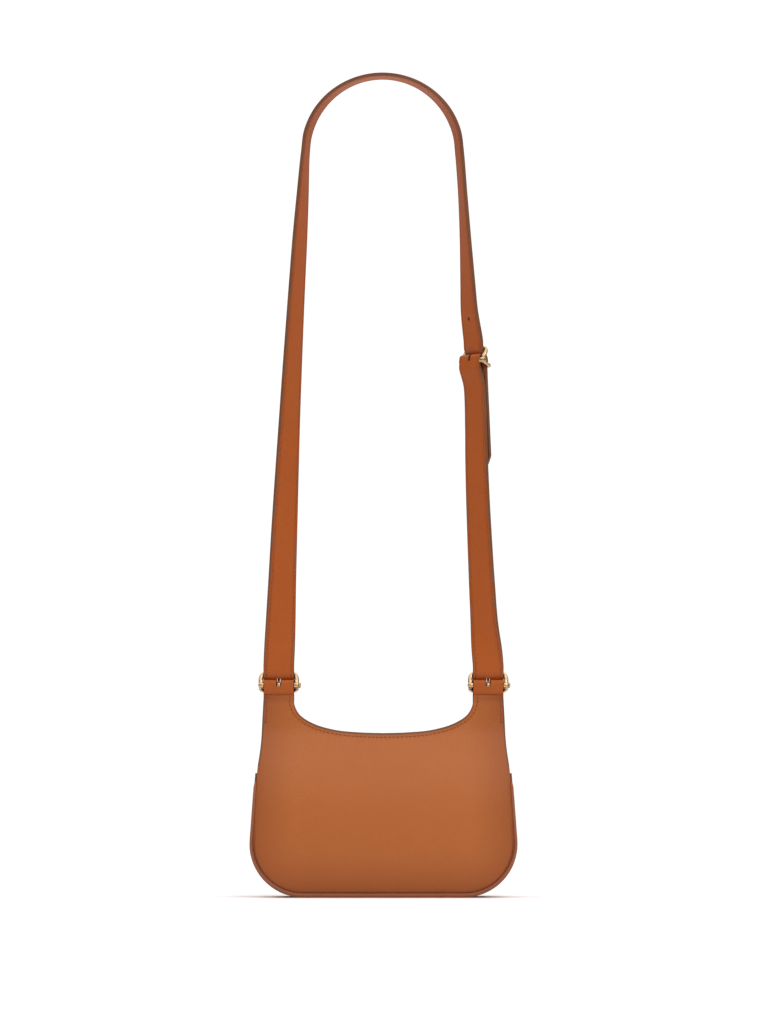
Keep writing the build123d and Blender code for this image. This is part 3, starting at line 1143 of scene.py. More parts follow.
    def gusset(self, name: str, inset: float, back: float, front: float, thickness: float, top: float,
               materials: Sequence[bpy.types.Material]) -> bpy.types.Object:
        """Band round the sides and base, sagging in a little at its sides.

        Args:
            name: the piece's name.
            inset: step in from the outline.
            back: gap to the back's good face.
            front: gap to the front's good face.
            thickness: sheet thickness.
            top: height of its upper ends.
            materials: outside, cut edge and inside.

        Returns:
            The band.
        """
        base, side = self.shape.foot(welted=False, extra=inset)
        side = [p for p in side if p.z < top - MM] + [self.shape.side(top, inset)]
        right = [*base, *side[1:]]
        route = Route([*reversed(mirrored(right)), *right[1:]])
        shape = self.shape

        def place(share: float, across: float, depth: float) -> Vector:
            """Put a flat point on the band.

            Args:
                share: share of the way round.
                across: share from back to front.
                depth: 0 on the good face, more on the other.

            Returns:
                The point's place.
            """
            distance = share * route.length
            at = route.at(distance)
            heading = route.heading(distance, 2 * MM)
            inward = Vector((-heading.z, 0.0, heading.x))
            lifted = smooth_step(at.z, 8 * MM, top)
            sag = (1.0 * MM * min(at.z / (20 * MM), 1.0) + 2.6 * MM * lifted) * math.sin(math.pi * across)
            step = sag + (thickness if depth > 0.005 else 0.0)
            low, high = shape.back.at(at.z) + back, shape.front.at(at.z) - front
            at = at + inward * step
            at.y = low + (high - low) * across
            return at

        blank = Blank(even(0.0, 1.0, 150), even(0.0, 1.0, 16))
        blank.thicken(0.01)
        blank.lay(place)
        blank.soften(0.25 * MM)
        return make_piece(name, blank.mesh, materials)

    def cord_radius(self, z: float) -> float:
        """Radius of the welt cord at a height: stout along the base, slim up the sides."""
        return (1.5 - 0.45 * smooth_step(z, 2 * MM, 40 * MM)) * MM

    def piping(self, name: str, profile: Curve, shift: float) -> bpy.types.Object:
        """Covered cord in the body seam.

        Args:
            name: the piece's name.
            profile: side view of the panel that it edges.
            shift: step in Y from that panel's face.

        Returns:
            The cord.
        """
        base, side = self.shape.foot(welted=False)
        side = [p for p in side if p.z < self.shape.gusset_top - 4 * MM]
        corner_x, corner_z = self.shape.half_width - self.shape.corner, self.shape.corner
        points = []
        for at in [*base, *side[1:]]:
            if at.z > corner_z:
                inward = Vector((-1, 0, 0))
            elif at.x > corner_x:
                inward = (Vector((corner_x, 0.0, corner_z)) - at).normalized()
            else:
                inward = Vector((0, 0, 1))
            spot = at + inward * self.cord_radius(at.z)
            spot.y = profile.at(at.z) + shift
            points.append(spot)
        route = Route(smooth_points([*reversed(mirrored(points)), *points[1:]], 4))
        mesh = bmesh.new()

        def radius_at(distance: float) -> float:
            """The cord's radius, thinned towards its two ends."""
            end = min(distance, route.length - distance)
            return self.cord_radius(route.at(distance).z) * (0.55 + 0.45 * smooth_step(end, 0.0, 4 * MM))

        add_tube(mesh, route, radius_at, 240, 12)
        return make_piece(name, mesh, [self.finishes.piping])

    def build(self) -> None:
        """Make the body's pieces."""
        fin, shape = self.finishes, self.shape
        back = self.panel("back_leather", self.back_patch(), self.back_y, Side.BACK, self.leather,
                          (176, 120), fin.lining, self.ear_start)
        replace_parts(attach(back, "bag"), "back_panel")
        front = self.panel("front_leather", self.low_patch(True, 0.0, self.front_top), self.front_y,
                           Side.FRONT, self.leather, (120, 60), fin.lining, 1.0)
        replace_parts(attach(front, "bag"), "front_panel")
        band = self.gusset("gusset_leather", 0.35 * MM, 2.4 * MM, 2.4 * MM, self.leather, 84 * MM,
                           [fin.panel, fin.edge, fin.lining])
        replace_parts(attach(band, "bag"), "gusset")
        for name, node, profile, shift in (
            ("back_welt_piping", "back_piping", shape.back, 1.0 * MM),
            ("front_welt_piping", "front_piping", shape.front, -1.0 * MM),
        ):
            cord = self.piping(name, profile, shift)
            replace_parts(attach(cord, "bag"), node)
        self.build_flap()
        self.build_filler()
        self.build_lining()
        self.build_stitching()

    def build_flap(self) -> None:
        """Make the flap and yoke, cut in one piece, and the flap lining."""
        fin = self.finishes
        flap = self.panel("flap_leather", self.flap_patch(), self.flap_y, Side.FRONT, self.leather,
                          (150, 130), fin.panel)
        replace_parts(flap, "flap", "flap_yoke")
        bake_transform(flap)

        def inside(x: float, z: float) -> float:
            """The lining's good face: close to the flap, but clear of the snap's washer.

            Args:
                x: place across.
                z: height.

            Returns:
                Y of the face.
            """
            hug = 0.7 * MM * smooth_step(math.hypot(x, z - 43 * MM), 14 * MM, 34 * MM)
            pucker = noise.noise(Vector((x * 34, 4.2, z * 30))) * 0.3 * MM
            pucker *= smooth_step(abs(x), 8 * MM, 20 * MM)
            return self.shape.flap.at(z) - self.droop(x) - 3.2 * MM + hug + pucker

        sheet = self.panel("flap_lining_cloth", self.flap_patch(2.2 * MM, 99 * MM), inside, Side.BACK,
                           self.cloth, (80, 44), fin.lining, 1.0)
        sheet.data.materials[0] = fin.lining
        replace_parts(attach(sheet, "flap"), "flap_lining")

    def build_filler(self) -> None:
        """Make the painted filler between the back and the yoke, round the scoop."""
        right = self.shape.scoop()
        route = Route([*right, *list(reversed(mirrored(right)))[1:]])
        half, deep = self.filler_half, self.filler_depth

        def place(across: float, share: float, depth: float) -> Vector:
            """Put a flat point on the filler, which is crowned on top and flat below.

            Args:
                across: distance from the middle line.
                share: share of the way along the scoop.
                depth: 0 on the good face, more on the other.

            Returns:
                The point's place.
            """
            distance = share * route.length
            heading = route.heading(distance, 2 * MM)
            inward = Vector((-heading.z, 0.0, heading.x))
            top = 0.25 * MM + 0.3 * MM * (across / half) ** 2
            spot = route.at(distance) + inward * (deep if depth > 0.005 else top)
            spot.y = across
            return spot

        blank = Blank(even(-half, half, 6), even(0.0, 1.0, 140))
        blank.thicken(0.01)
        blank.lay(place)
        filler = make_piece("scoop_edge_filler", blank.mesh, [self.finishes.edge] * 3)
        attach(filler, "bag")

    def build_lining(self) -> None:
        """Make the cloth lining and its pocket."""
        fin = self.finishes
        cloth = [fin.lining, fin.edge, fin.lining]

        def behind_back(x: float, z: float) -> float:
            """Good face of the back lining."""
            pucker = noise.noise(Vector((x * 40, 1.3, z * 32))) * 0.35 * MM
            return self.back_y(x, z) + self.lining_gap + pucker

        def behind_front(x: float, z: float) -> float:
            """Good face of the front lining."""
            pucker = noise.noise(Vector((x * 40, 7.9, z * 32))) * 0.35 * MM
            return self.front_y(x, z) - self.lining_gap + pucker

        def pocket(x: float, z: float) -> float:
            """Good face of the pocket, gaping a little at its top."""
            gape = 1.3 * MM * math.cos(min(abs(x) / self.pocket_half, 1.0) * math.pi / 2)
            return behind_back(x, z) + 1.1 * MM + gape * smooth_step(z, 30 * MM, self.pocket_top)

        back_outline = self.low_patch(True, self.lining_step, 103 * MM)
        front_outline = self.low_patch(True, self.lining_step, 85 * MM)
        plans = (
            ("back_lining_cloth", "back_lining", back_outline, behind_back, Side.FRONT),
            ("front_lining_cloth", "front_lining", front_outline, behind_front, Side.BACK),
        )
        for name, node, patch, face, good in plans:
            sheet = self.panel(name, patch, face, good, self.cloth, (70, 40), fin.lining, 1.0)
            sheet.data.materials[0] = fin.lining
            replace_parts(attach(sheet, "bag"), node)
        board = self.panel("back_stiffener_board", self.low_patch(True, self.lining_step, 84 * MM),
                           lambda x, z: self.back_y(x, z) + 2.1 * MM, Side.FRONT, self.board,
                           (50, 30), fin.board, 1.0)
        board.data.materials[0] = fin.board
        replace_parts(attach(board, "bag"), "back_stiffener")
        patch = Patch(
            [Vector((x, 0, self.pocket_base)) for x in even(0, self.pocket_half, 4)],
            [Vector((self.pocket_half, 0, z)) for z in even(self.pocket_base, self.pocket_top, 4)],
            [Vector((x, 0, self.pocket_top)) for x in even(self.pocket_half, 0, 4)],
        )
        sheet = self.panel("pocket_cloth", patch, pocket, Side.FRONT, self.cloth, (50, 24), fin.lining, 1.0)
        sheet.data.materials[0] = fin.lining
        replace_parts(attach(sheet, "bag"), "slip_pocket")
        band = self.gusset("gusset_lining_cloth", 4.2 * MM, 3.9 * MM, 4.4 * MM, self.cloth, 81 * MM, cloth)
        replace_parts(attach(band, "bag"), "gusset_lining")

    def seam(self, sewing: Stitching, points: Sequence[Vector], face: Callable[[float, float], float],
             good: Side) -> None:
        """Sew along a line of the back view, lying on a face.

        Args:
            sewing: the stitches so far.
            points: the seam's line.
            face: Y of the face at X and Z.
            good: which way the face looks.
        """
        route = Route([Vector((p.x, face(p.x, p.z), p.z)) for p in points])
        step = 0.5 * MM

        def at(distance: float) -> tuple[Vector, Vector, Vector]:
            """Place, direction and outward side of a stitch."""
            spot = route.at(distance)
            slope = (face(spot.x, spot.z + step) - face(spot.x, spot.z - step)) / (2 * step)
            out = Vector((0.0, good.value, -good.value * slope)).normalized()
            return spot + out * 0.05 * MM, route.heading(distance), out

        sewing.follow(route.length, at)

    def build_stitching(self) -> None:
        """Sew the scoop, the ears and the flap's edge."""
        scoop = self.shape.scoop()
        centre = Route(scoop)
        inset = []
        for distance in even(0.1 * MM, centre.length, 60):
            heading = centre.heading(distance, 2 * MM)
            inset.append(centre.at(distance) + Vector((-heading.z, 0.0, heading.x)) * self.seam_step)
        line = [*inset, *list(reversed(mirrored(inset)))[1:]]
        ear = [Vector((self.shape.ear_x + self.shape.ear_half + dx * MM, 0.0, z * MM))
               for dx, z in ((-2.1, 137.0), (-1.9, 127), (-1.4, 119.0))]
        back = Stitching()
        self.seam(back, line, self.back_y, Side.BACK)
        for points in (ear, mirrored(ear)):
            self.seam(back, points, self.back_y, Side.BACK)
            last = points[-1]
            tack = last + Vector((0.0, self.back_y(last.x, last.z) - last.y, -0.4 * MM))
            for step in (-0.3 * MM, 0.3 * MM):
                back.add(tack + Vector((0, 0, step)), Vector((1, 0, 0)), Vector((0, -1, 0)))
        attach(back.finish("back_stitching", self.finishes.thread), "bag")
        front = Stitching()
        for points in (line, ear, mirrored(ear)):
            self.seam(front, points, self.flap_y, Side.FRONT)
        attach(front.finish("yoke_stitching", self.finishes.thread), "bag")


# ---------------------------------------------------------------- strap


@dataclass
class StrapCourse:
    """Where the strap runs: its middle, and the direction of its width, in metres."""

    width: float = 21.0 * MM
    ear_x: float = 71.5 * MM
    bar_z: float = JOINTS["bag_swing"]["pos_m"][2]
    top_y: float = 0.9
    top_z: float = 10.4
    arch_radius: float = 52.9 * MM
    arch_x: float = -0.7 * MM
    arch_z: float = 509.4 * MM
    twist: float = 79.5
    buckle_turn: float = 56.0
    fold_turn: float = 49.0

    def __post_init__(self) -> None:
        """Find the strap buckle, and set how each leg drifts and twists from the ear to the arch."""
        self.buckle = Vector(JOINTS["strap_prong_hinge"]["pos_m"])
        self.left_drift = Curve([(0, 0), (0.25, -1.1), (0.5, -1.5), (0.75, -1.1), (1, 0)])
        self.right_drift = Curve([
            (0, 0), (0.08, -0.8), (0.3, -0.7), (0.4, 0.0), (0.5, 1.2), (0.58, 1.0), (0.72, 0.7),
            (0.9, 0.7), (1, 0),
        ])
        self.left_twist = Curve([
            (0, 0), (0.12, 24.5), (0.3, 39.5), (0.47, 51), (0.63, 58.5), (0.72, 62.5), (0.81, 65.5),
            (0.9, 71), (1, self.twist),
        ])
        self.right_twist = Curve([
            (0, 10), (0.083, 30), (0.21, 40), (0.3, 44), (0.4, 47.5), (0.5, 50.5), (0.63, 56), (0.72, 64),
            (0.81, 72), (0.9, 78), (1, self.twist),
        ])

    def station(self, centre: Vector, along: Vector, twist: float) -> tuple[Vector, Vector]:
        """Middle and width direction where the strap turns out of the XZ plane by twist.

        Args:
            centre: the strap's middle.
            along: its direction of travel.
            twist: the turn, in degrees.

        Returns:
            The middle and the width direction.
        """
        along = along.normalized()
        flat = Vector((along.z, 0.0, -along.x))
        turn = math.radians(twist)
        return centre, flat * math.cos(turn) + Vector((0.0, math.sin(turn), 0.0))

    def leg(self, side: int, rise: float) -> tuple[Vector, Vector]:
        """Station on a leg: rise is 0 at the ear and 1 at the arch.

        Args:
            side: -1 for the left leg, 1 for the right.
            rise: share of the way up.

        Returns:
            The middle and the width direction.
        """
        foot_z = self.bar_z + self.top_z * MM
        height = self.arch_z - foot_z
        drift = self.left_drift if side < 0 else self.right_drift

        def x(r: float) -> float:
            """The strap's middle at a share of the rise."""
            head = self.arch_x + self.arch_radius * side
            return self.ear_x * side * (1 - r) + head * r + drift.at(r) * MM

        lean = (x(rise + 0.02) - x(rise - 0.02)) / (0.04 * height)
        along = Vector((-side * lean, 0.0, -side))
        centre = Vector((x(rise), self.top_y * MM, foot_z + rise * height))
        twist = self.left_twist if side < 0 else self.right_twist
        return self.station(centre, along, twist.at(rise))

    def arch(self, angle: float) -> tuple[Vector, Vector]:
        """Station on the half circle, from 0 at the left to 180 at the right.

        Args:
            angle: the angle, in degrees.

        Returns:
            The middle and the width direction.
        """
        turn = math.radians(angle)
        x = self.arch_x - self.arch_radius * math.cos(turn)
        centre = Vector((x, self.top_y * MM, self.arch_z + self.arch_radius * math.sin(turn)))
        twist = 90 - (90 - self.twist) * math.cos(turn) ** 2
        return self.station(centre, Vector((math.sin(turn), 0.0, math.cos(turn))), twist)

    def end(self, tail: float) -> list[tuple[float, float]]:
        """Side view of a strap end in its buckle, from the top down to the tip, in millimetres.

        Args:
            tail: how far the tip hangs below the bar.

        Returns:
            Y and Z of each point.
        """
        flare = 4.7 + (tail - 4) * 0.05
        return [(0.95, self.top_z + 3.0), (1.2, 9.0), (2.2, 6.2), (3.9, 3.4), (5.1, 0.3), (4.62, -3.6),
                (4.75, -9.0), (4.75 + (flare - 4.75) * 0.4, -9 - (tail - 9) * 0.4), (flare, -tail)]

    def at_ear(self, side: int, y: float, z: float) -> Vector:
        """Point in an ear buckle."""
        return Vector((self.ear_x * side, y * MM, self.bar_z + z * MM))

    def at_buckle(self, y: float, z: float, turn: float | None = None) -> Vector:
        """Point in the strap buckle."""
        turn = math.radians(self.buckle_turn if turn is None else turn)
        return self.buckle + Vector((y * math.sin(turn), y * math.cos(turn), z)) * MM

    def turned(self, degrees: float) -> Vector:
        """Width direction of a strap turned about the vertical."""
        turn = math.radians(degrees)
        return Vector((math.cos(turn), -math.sin(turn), 0.0))

    def long_stations(self) -> list[tuple[Vector, Vector]]:
        """Stations from the left tip, over the arch, to the end of the tail.

        Returns:
            Middle and width direction at each station.
        """
        flat = Vector((1.0, 0.0, 0.0))
        stations = [(self.at_ear(-1, y, z), flat) for y, z in reversed(self.end(28.0))]
        stations += [self.leg(-1, step / 12) for step in range(1, 12)]
        stations += [self.arch(angle) for angle in range(0, 181, 15)]
        stations += [self.leg(1, step / 12) for step in (11, 10, 9, 8.3)]
        stations += [(self.at_buckle(y, z), -self.turned(self.buckle_turn)) for y, z in self.end(75.0)]
        return stations

    def short_stations(self) -> list[tuple[Vector, Vector]]:
        """Stations from the turned-back end, round the strap buckle's bar, to the right tip.

        Returns:
            Middle and width direction at each station.
        """
        across = self.turned(self.fold_turn)
        behind = self.turned(self.buckle_turn)
        stations = [(self.at_buckle(y, z), behind) for y, z in ((2.1, -20), (2.1, -13))]
        stations.append((self.at_buckle(2.1, -6.0, self.fold_turn), across))
        for angle in range(-10, 191, 20):
            bend = math.radians(angle)
            y, z = 2.3 * math.cos(bend), 3.9 * math.sin(bend)
            stations.append((self.at_buckle(y - 0.7 * max(z, 0.0) / 3.9, z, self.fold_turn), across))
        for y, z, drift, turn in ((-2.2, -4.5, 0.2, 49), (-1.0, -10.0, 0.7, 49.5), (0.2, -17.0, 1.3, 50.5)):
            spot = self.at_buckle(y, z) + Vector((drift * MM, 0, 0))
            stations.append((spot, self.turned(turn)))
        for step in (5.6, 5, 4, 3, 2, 1):
            centre, width = self.leg(1, step / 12)
            stations.append((centre, -width))
        stations += [(self.at_ear(1, y, z), Vector((1.0, 0.0, 0.0))) for y, z in self.end(28.0)]
        return stations


class Strap:
    """A strap laid along its stations, with painted edges and a row of stitches down each side."""

    def __init__(self, stations: Sequence[tuple[Vector, Vector]], width: float) -> None:
        """Measure the course.

        Args:
            stations: middle and width direction at each station.
            width: the strap's width.
        """
        middles = [s[0] for s in stations]
        self.route = Route(smooth_points(middles, 12))
        self.across = smooth_points([s[1] for s in stations], 12, knots_of(middles))
        self.half = width / 2

    def frame_at(self, distance: float) -> tuple[Vector, Vector, Vector, Vector]:
        """Middle, travel, width and outward directions at a distance.

        Args:
            distance: distance from the start.

        Returns:
            The middle and the three directions.
        """
        index, share = self.route.find(distance)
        along = self.route.heading(distance)
        across = self.across[index].lerp(self.across[index + 1], share)
        across = (across - along * across.dot(along)).normalized()
        return self.route.at(distance), along, across, along.cross(across)

    def nearest(self, point: Vector, low: float = 0.0, high: float = 1.0) -> float:
        """Distance along the strap of the place nearest a point, between two shares of its length."""
        marks = [self.route.length * t for t in even(low, high, 1500)]
        return min(marks, key=lambda d: (self.route.at(d) - point).length)


@dataclass
class Straps:
    """Both straps with their stitching, in metres."""

    finishes: Finishes
    course: StrapCourse
    full: float = 2.4 * MM
    thinned: float = 1.15 * MM
    row: float = 8.5 * MM
    painted_from: float = 9.9 * MM
    slot_half: float = 1.1 * MM
    slot_reach: float = 2.6 * MM
    fold_slot_reach: float = 5.4 * MM
    hole_radius: float = 1.35 * MM
    margin: float = 12 * MM

    def __post_init__(self) -> None:
        """Lay out both courses."""
        self.long = Strap(self.course.long_stations(), self.course.width)
        self.short = Strap(self.course.short_stations(), self.course.width)

    def columns(self, half: float) -> list[float]:
        """Lines across a strap, closer at the edges, the stitch grooves and the prong slot.

        Args:
            half: half the strap's width.

        Returns:
            Places from edge to edge.
        """
        right = [0.0, 0.55, 1.1, 1.7, 2.6, 4.2, 6.0, 7.6, 8.1, 8.5, 8.9, 9.4, 9.9]
        right = [x * MM for x in right] + [half]
        return [-x for x in reversed(right[1:])] + right

    def lay(self, name: str, strap: Strap, thickness: Callable[[float], float],
            points: tuple[bool, bool], slots: Sequence[tuple[float, float]],
            holes: Sequence[float], seams: Sequence[tuple[float, float]]) -> bpy.types.Object:
        """Cut a strap and lay it along its course.

        Args:
            name: the piece's name.
            strap: its course.
            thickness: thickness at each distance.
            points: whether the start and the end are pointed.
            slots: start and end of each prong slot.
            holes: distance of each round hole.
            seams: start and end of each stretch of stitch groove.

        Returns:
            The strap.
        """
        length, half = strap.route.length, strap.half
        rows = even(0.0, length, int(length / (1.25 * MM)))
        blank = Blank(self.columns(half), rows)
        for start, end in slots:
            blank.cut(lambda a, s, start=start, end=end: abs(a) < self.slot_half and start < s < end)
        for distance in holes:
            blank.round_hole(0.0, distance, self.hole_radius)
        blank.thicken(0.01)
        blank.paint(lambda a, s: abs(a) > self.painted_from)

        def taper(distance: float) -> float:
            """Share of the full width, less towards a pointed end.

            Args:
                distance: distance along the strap.

            Returns:
                The share, from 0 to 1.
            """
            ends = [distance] * points[0] + [length - distance] * points[1]
            near = min(ends) if ends else half
            return min(1.0, 0.26 + 0.74 * (max(near, 0.0) / (9.5 * MM)) ** 0.8)

        def place(a: float, s: float, depth: float) -> Vector:
            """Put a flat point on the strap.

            Args:
                a: place across.
                s: distance along.
                depth: 0 on the good face, more on the other.

            Returns:
                The point's place.
            """
            centre, along, across, out = strap.frame_at(s)
            t = thickness(s) / 2
            off = abs(abs(a) - self.row)
            sewn = any(start < s < end for start, end in seams)
            groove = 0.22 * MM * max(1 - off / (0.55 * MM), 0.0) if sewn else 0.0
            crown = 0.10 * MM * (1 - (a / half) ** 2)
            edge = 0.35 * MM * smooth_step(abs(a), 9.4 * MM, half)
            level = t + crown - edge - groove
            sign = 1 if depth > 0.005 else -1
            return centre + across * a * taper(s) + out * sign * level

        def painted_shade_and_edge_tone(flat: Vector, laid: Vector) -> float:
            """Darker towards the strap's edges."""
            return 0.2 * smooth_step(abs(flat.x), 6.5 * MM, 9.0 * MM)

        blank.lay(place, painted_shade_and_edge_tone)
        blank.soften(0.35 * MM, 50.0)
        piece = make_piece(name, blank.mesh, [self.finishes.strap, self.finishes.edge, self.finishes.strap])
        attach(piece, "strap")
        return piece

    def sew(self, sewing: Stitching, strap: Strap, thickness: Callable[[float], float], start: float,
            end: float) -> None:
        """Sew both sides and both faces of a stretch of strap.

        Args:
            sewing: the stitches so far.
            strap: the strap's course.
            thickness: thickness at each distance.
            start: where the stretch starts.
            end: where it ends.
        """
        for edge in (-self.row, self.row):
            for face in (-1, 1):
                def at(distance: float, edge: float = edge,
                       face: int = face) -> tuple[Vector, Vector, Vector]:
                    """Place, direction and outward side of a stitch."""
                    centre, along, across, out = strap.frame_at(start + distance)
                    level = thickness(start + distance) / 2 - 0.12 * MM
                    return centre + across * edge + out * face * level, along, out * face

                sewing.follow(end - start, at)

    def build(self) -> None:
        """Make both straps."""
        course, full, margin = self.course, self.full, self.margin

        def even_thickness(distance: float) -> float:
            """The long strap's thickness all along."""
            return full

        long, short = self.long, self.short
        left_slot = long.nearest(course.at_ear(-1, 4.1, 2.85), 0.0, 0.1)
        mid_slot = long.nearest(course.at_buckle(4.1, 2.85), 0.8, 1.0)
        hole = long.nearest(Vector((59.5 * MM, 0.5 * MM, 395 * MM)), 0.7, 0.95)
        reach = self.slot_reach
        slots = [(left_slot - reach, left_slot + reach), (mid_slot - reach, mid_slot + reach)]
        seams = [(margin, long.route.length - margin)]
        piece = self.lay("long_strap_leather", long, even_thickness, (True, True), slots, [hole], seams)
        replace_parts(piece, "long_strap")
        top = short.nearest(course.at_buckle(-0.7, 3.9), 0.0, 0.3)

        def skived(distance: float) -> float:
            """The short strap's thickness, thinned at its fold."""
            return self.thinned + (full - self.thinned) * smooth_step(distance, top + 5 * MM, top + 12 * MM)

        right_slot = short.nearest(course.at_ear(1, 4.1, 2.85), 0.8, 1.0)
        fold_reach = self.fold_slot_reach
        slots = [(top - fold_reach, top + fold_reach), (right_slot - reach, right_slot + reach)]
        seams = [(top + 14 * MM, short.route.length - margin)]
        piece = self.lay("short_strap_leather", short, skived, (False, True), slots, [], seams)
        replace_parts(piece, "short_strap")
        sewing = Stitching()
        self.sew(sewing, long, even_thickness, margin + 1 * MM, long.route.length - margin - 1 * MM)
        self.sew(sewing, short, skived, top + 15 * MM, short.route.length - margin - 1 * MM)
        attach(sewing.finish("strap_stitching", self.finishes.thread), "strap")


# ---------------------------------------------------------------- buckles and tabs


@dataclass
class Buckle:
    """Bowed frame, bar and prong, drawn about the bar and put in place, in millimetres."""

    finishes: Finishes
    name: str
    centre: Vector
    turn: float
    wire: float = 1.3
    half_width: float = 12.15
    ring_width: float = 2.6
    ring_radius: float = 1.8
    ring_wire: float = 0.48
    boss_radius: float = 2.15
    boss_length: float = 3.3
    corner: float = 3.8
    prong_wire: float = 0.84
    top: tuple[float, float] = (4.2, 8.5)
    low: tuple[float, float] = (7.3, -3.6)

    def place(self, mesh: bmesh.types.BMesh) -> None:
        """Carry the drawn shape to its place."""
        matrix = Matrix.Translation(self.centre) @ Matrix.Rotation(math.radians(-self.turn), 4, "Z")
        bmesh.ops.transform(mesh, matrix=matrix @ Matrix.Scale(MM, 4), verts=mesh.verts)

    def loop(self) -> Route:
        """Middle line of the frame: a rounded rectangle, swept back at its sides.

        Returns:
            The closed line.
        """
        w, corner = self.half_width, self.corner
        top_y, top_z = self.top
        low_y, low_z = self.low
        right = [
            (0, top_y, top_z), (w - corner, top_y, top_z), (w - 1.0, top_y - 0.6, top_z - 1.2),
            (w, top_y - 1.9, top_z - 3.8), (w, 0.9, 2.6), (w, 0.3, 0.4), (w, 1.6, -1.7),
            (w - 0.2, 4.4, -3.0), (w - 1.2, 6.5, low_z), (w - 3.4, low_y, low_z), (0, low_y, low_z),
        ]
        half = [Vector(p) for p in right]
        ring = [*half, *reversed(mirrored(half[1:-1]))]
        count = len(ring)
        padded_ring = [ring[(i - 2) % count] for i in range(count + 5)]
        line = smooth_points(padded_ring, 10)
        return Route(line[20:20 + count * 10 + 1])

    def build(self) -> None:
        """Make the three pieces."""
        mesh = bmesh.new()
        add_tube(mesh, self.loop(), lambda d: self.wire, 150, 14, closed=True)
        for vert in mesh.verts:
            out = abs(vert.co.x) - self.half_width
            if vert.co.z < self.top[1] - 1.0 and out > -self.wire * 1.05:
                vert.co.x = math.copysign(self.half_width + out * 1.25, vert.co.x)
        for sign in (-1, 1):
            part = bmesh.new()
            spot = Matrix.Translation((sign * (self.half_width - 0.3), 0.15, 0))
            bmesh.ops.create_cone(part, cap_ends=True, segments=28, radius1=self.boss_radius,
                                  radius2=self.boss_radius, depth=self.boss_length,
                                  matrix=spot @ Matrix.Rotation(math.pi / 2, 4, "Y"))
            rims = [e for e in part.edges if e.calc_face_angle(0.0) > 1.0]
            bmesh.ops.bevel(part, geom=rims, offset=0.5, segments=3, profile=0.5, affect="EDGES", material=-1)
            join(mesh, part)
        self.finish(mesh, "frame", "strap")
        mesh = bmesh.new()
        outline = [(0.0, -14.1), (0.85, -13.95), (1.2, -13.5), (1.2, 13.3), (1.3, 13.6), (1.75, 13.75),
                   (1.95, 14.15), (1.9, 14.6), (1.5, 14.95), (0.8, 15.1), (0.0, 15.12)]
        verts = [mesh.verts.new((x, r, 0.0)) for r, x in outline]
        edges = [mesh.edges.new(pair) for pair in zip(verts, verts[1:])]
        bmesh.ops.spin(mesh, geom=verts + edges, cent=(0, 0, 0), axis=(1, 0, 0), dvec=(0, 0, 0),
                       angle=2 * math.pi, steps=28, use_merge=True)
        bmesh.ops.remove_doubles(mesh, verts=mesh.verts, dist=1e-4)
        self.finish(mesh, "bar", "strap")
        mesh = bmesh.new()
        size = self.ring_radius
        ring = [Vector((0.0, size * math.cos(a), size * math.sin(a))) for a in even(0, 2 * math.pi, 24)]
        add_tube(mesh, Route(ring), lambda d: self.ring_wire, 24, 10, closed=True)
        bmesh.ops.scale(mesh, vec=(self.ring_width, 1.0, 1.0), verts=mesh.verts)
        spine = ((0, 0.3, 1.9), (0, 1.5, 2.9), (0, 3.2, 4.1), (0, 5.5, 5.8), (0, 6.6, 7.0), (0, 7.05, 8.6),
                 (0, 7.1, 10.2))
        route = Route(smooth_points([Vector(p) for p in spine], 8))
        nose = route.length * 0.75
        add_tube(mesh, route, lambda d: self.prong_wire - 0.2 * smooth_step(d, nose, route.length), 40, 12)
        self.finish(mesh, "prong", f"{self.name}_prong")

    def finish(self, mesh: bmesh.types.BMesh, part: str, body: str) -> None:
        """Put a piece in place on its body.

        Args:
            mesh: the drawn shape.
            part: which part it is.
            body: the body that it rides on.
        """
        self.place(mesh)
        piece = make_piece(f"{self.name}_{part}_metal", mesh, [self.finishes.metal])
        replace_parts(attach(piece, body), f"{self.name}_buckle_{part}")


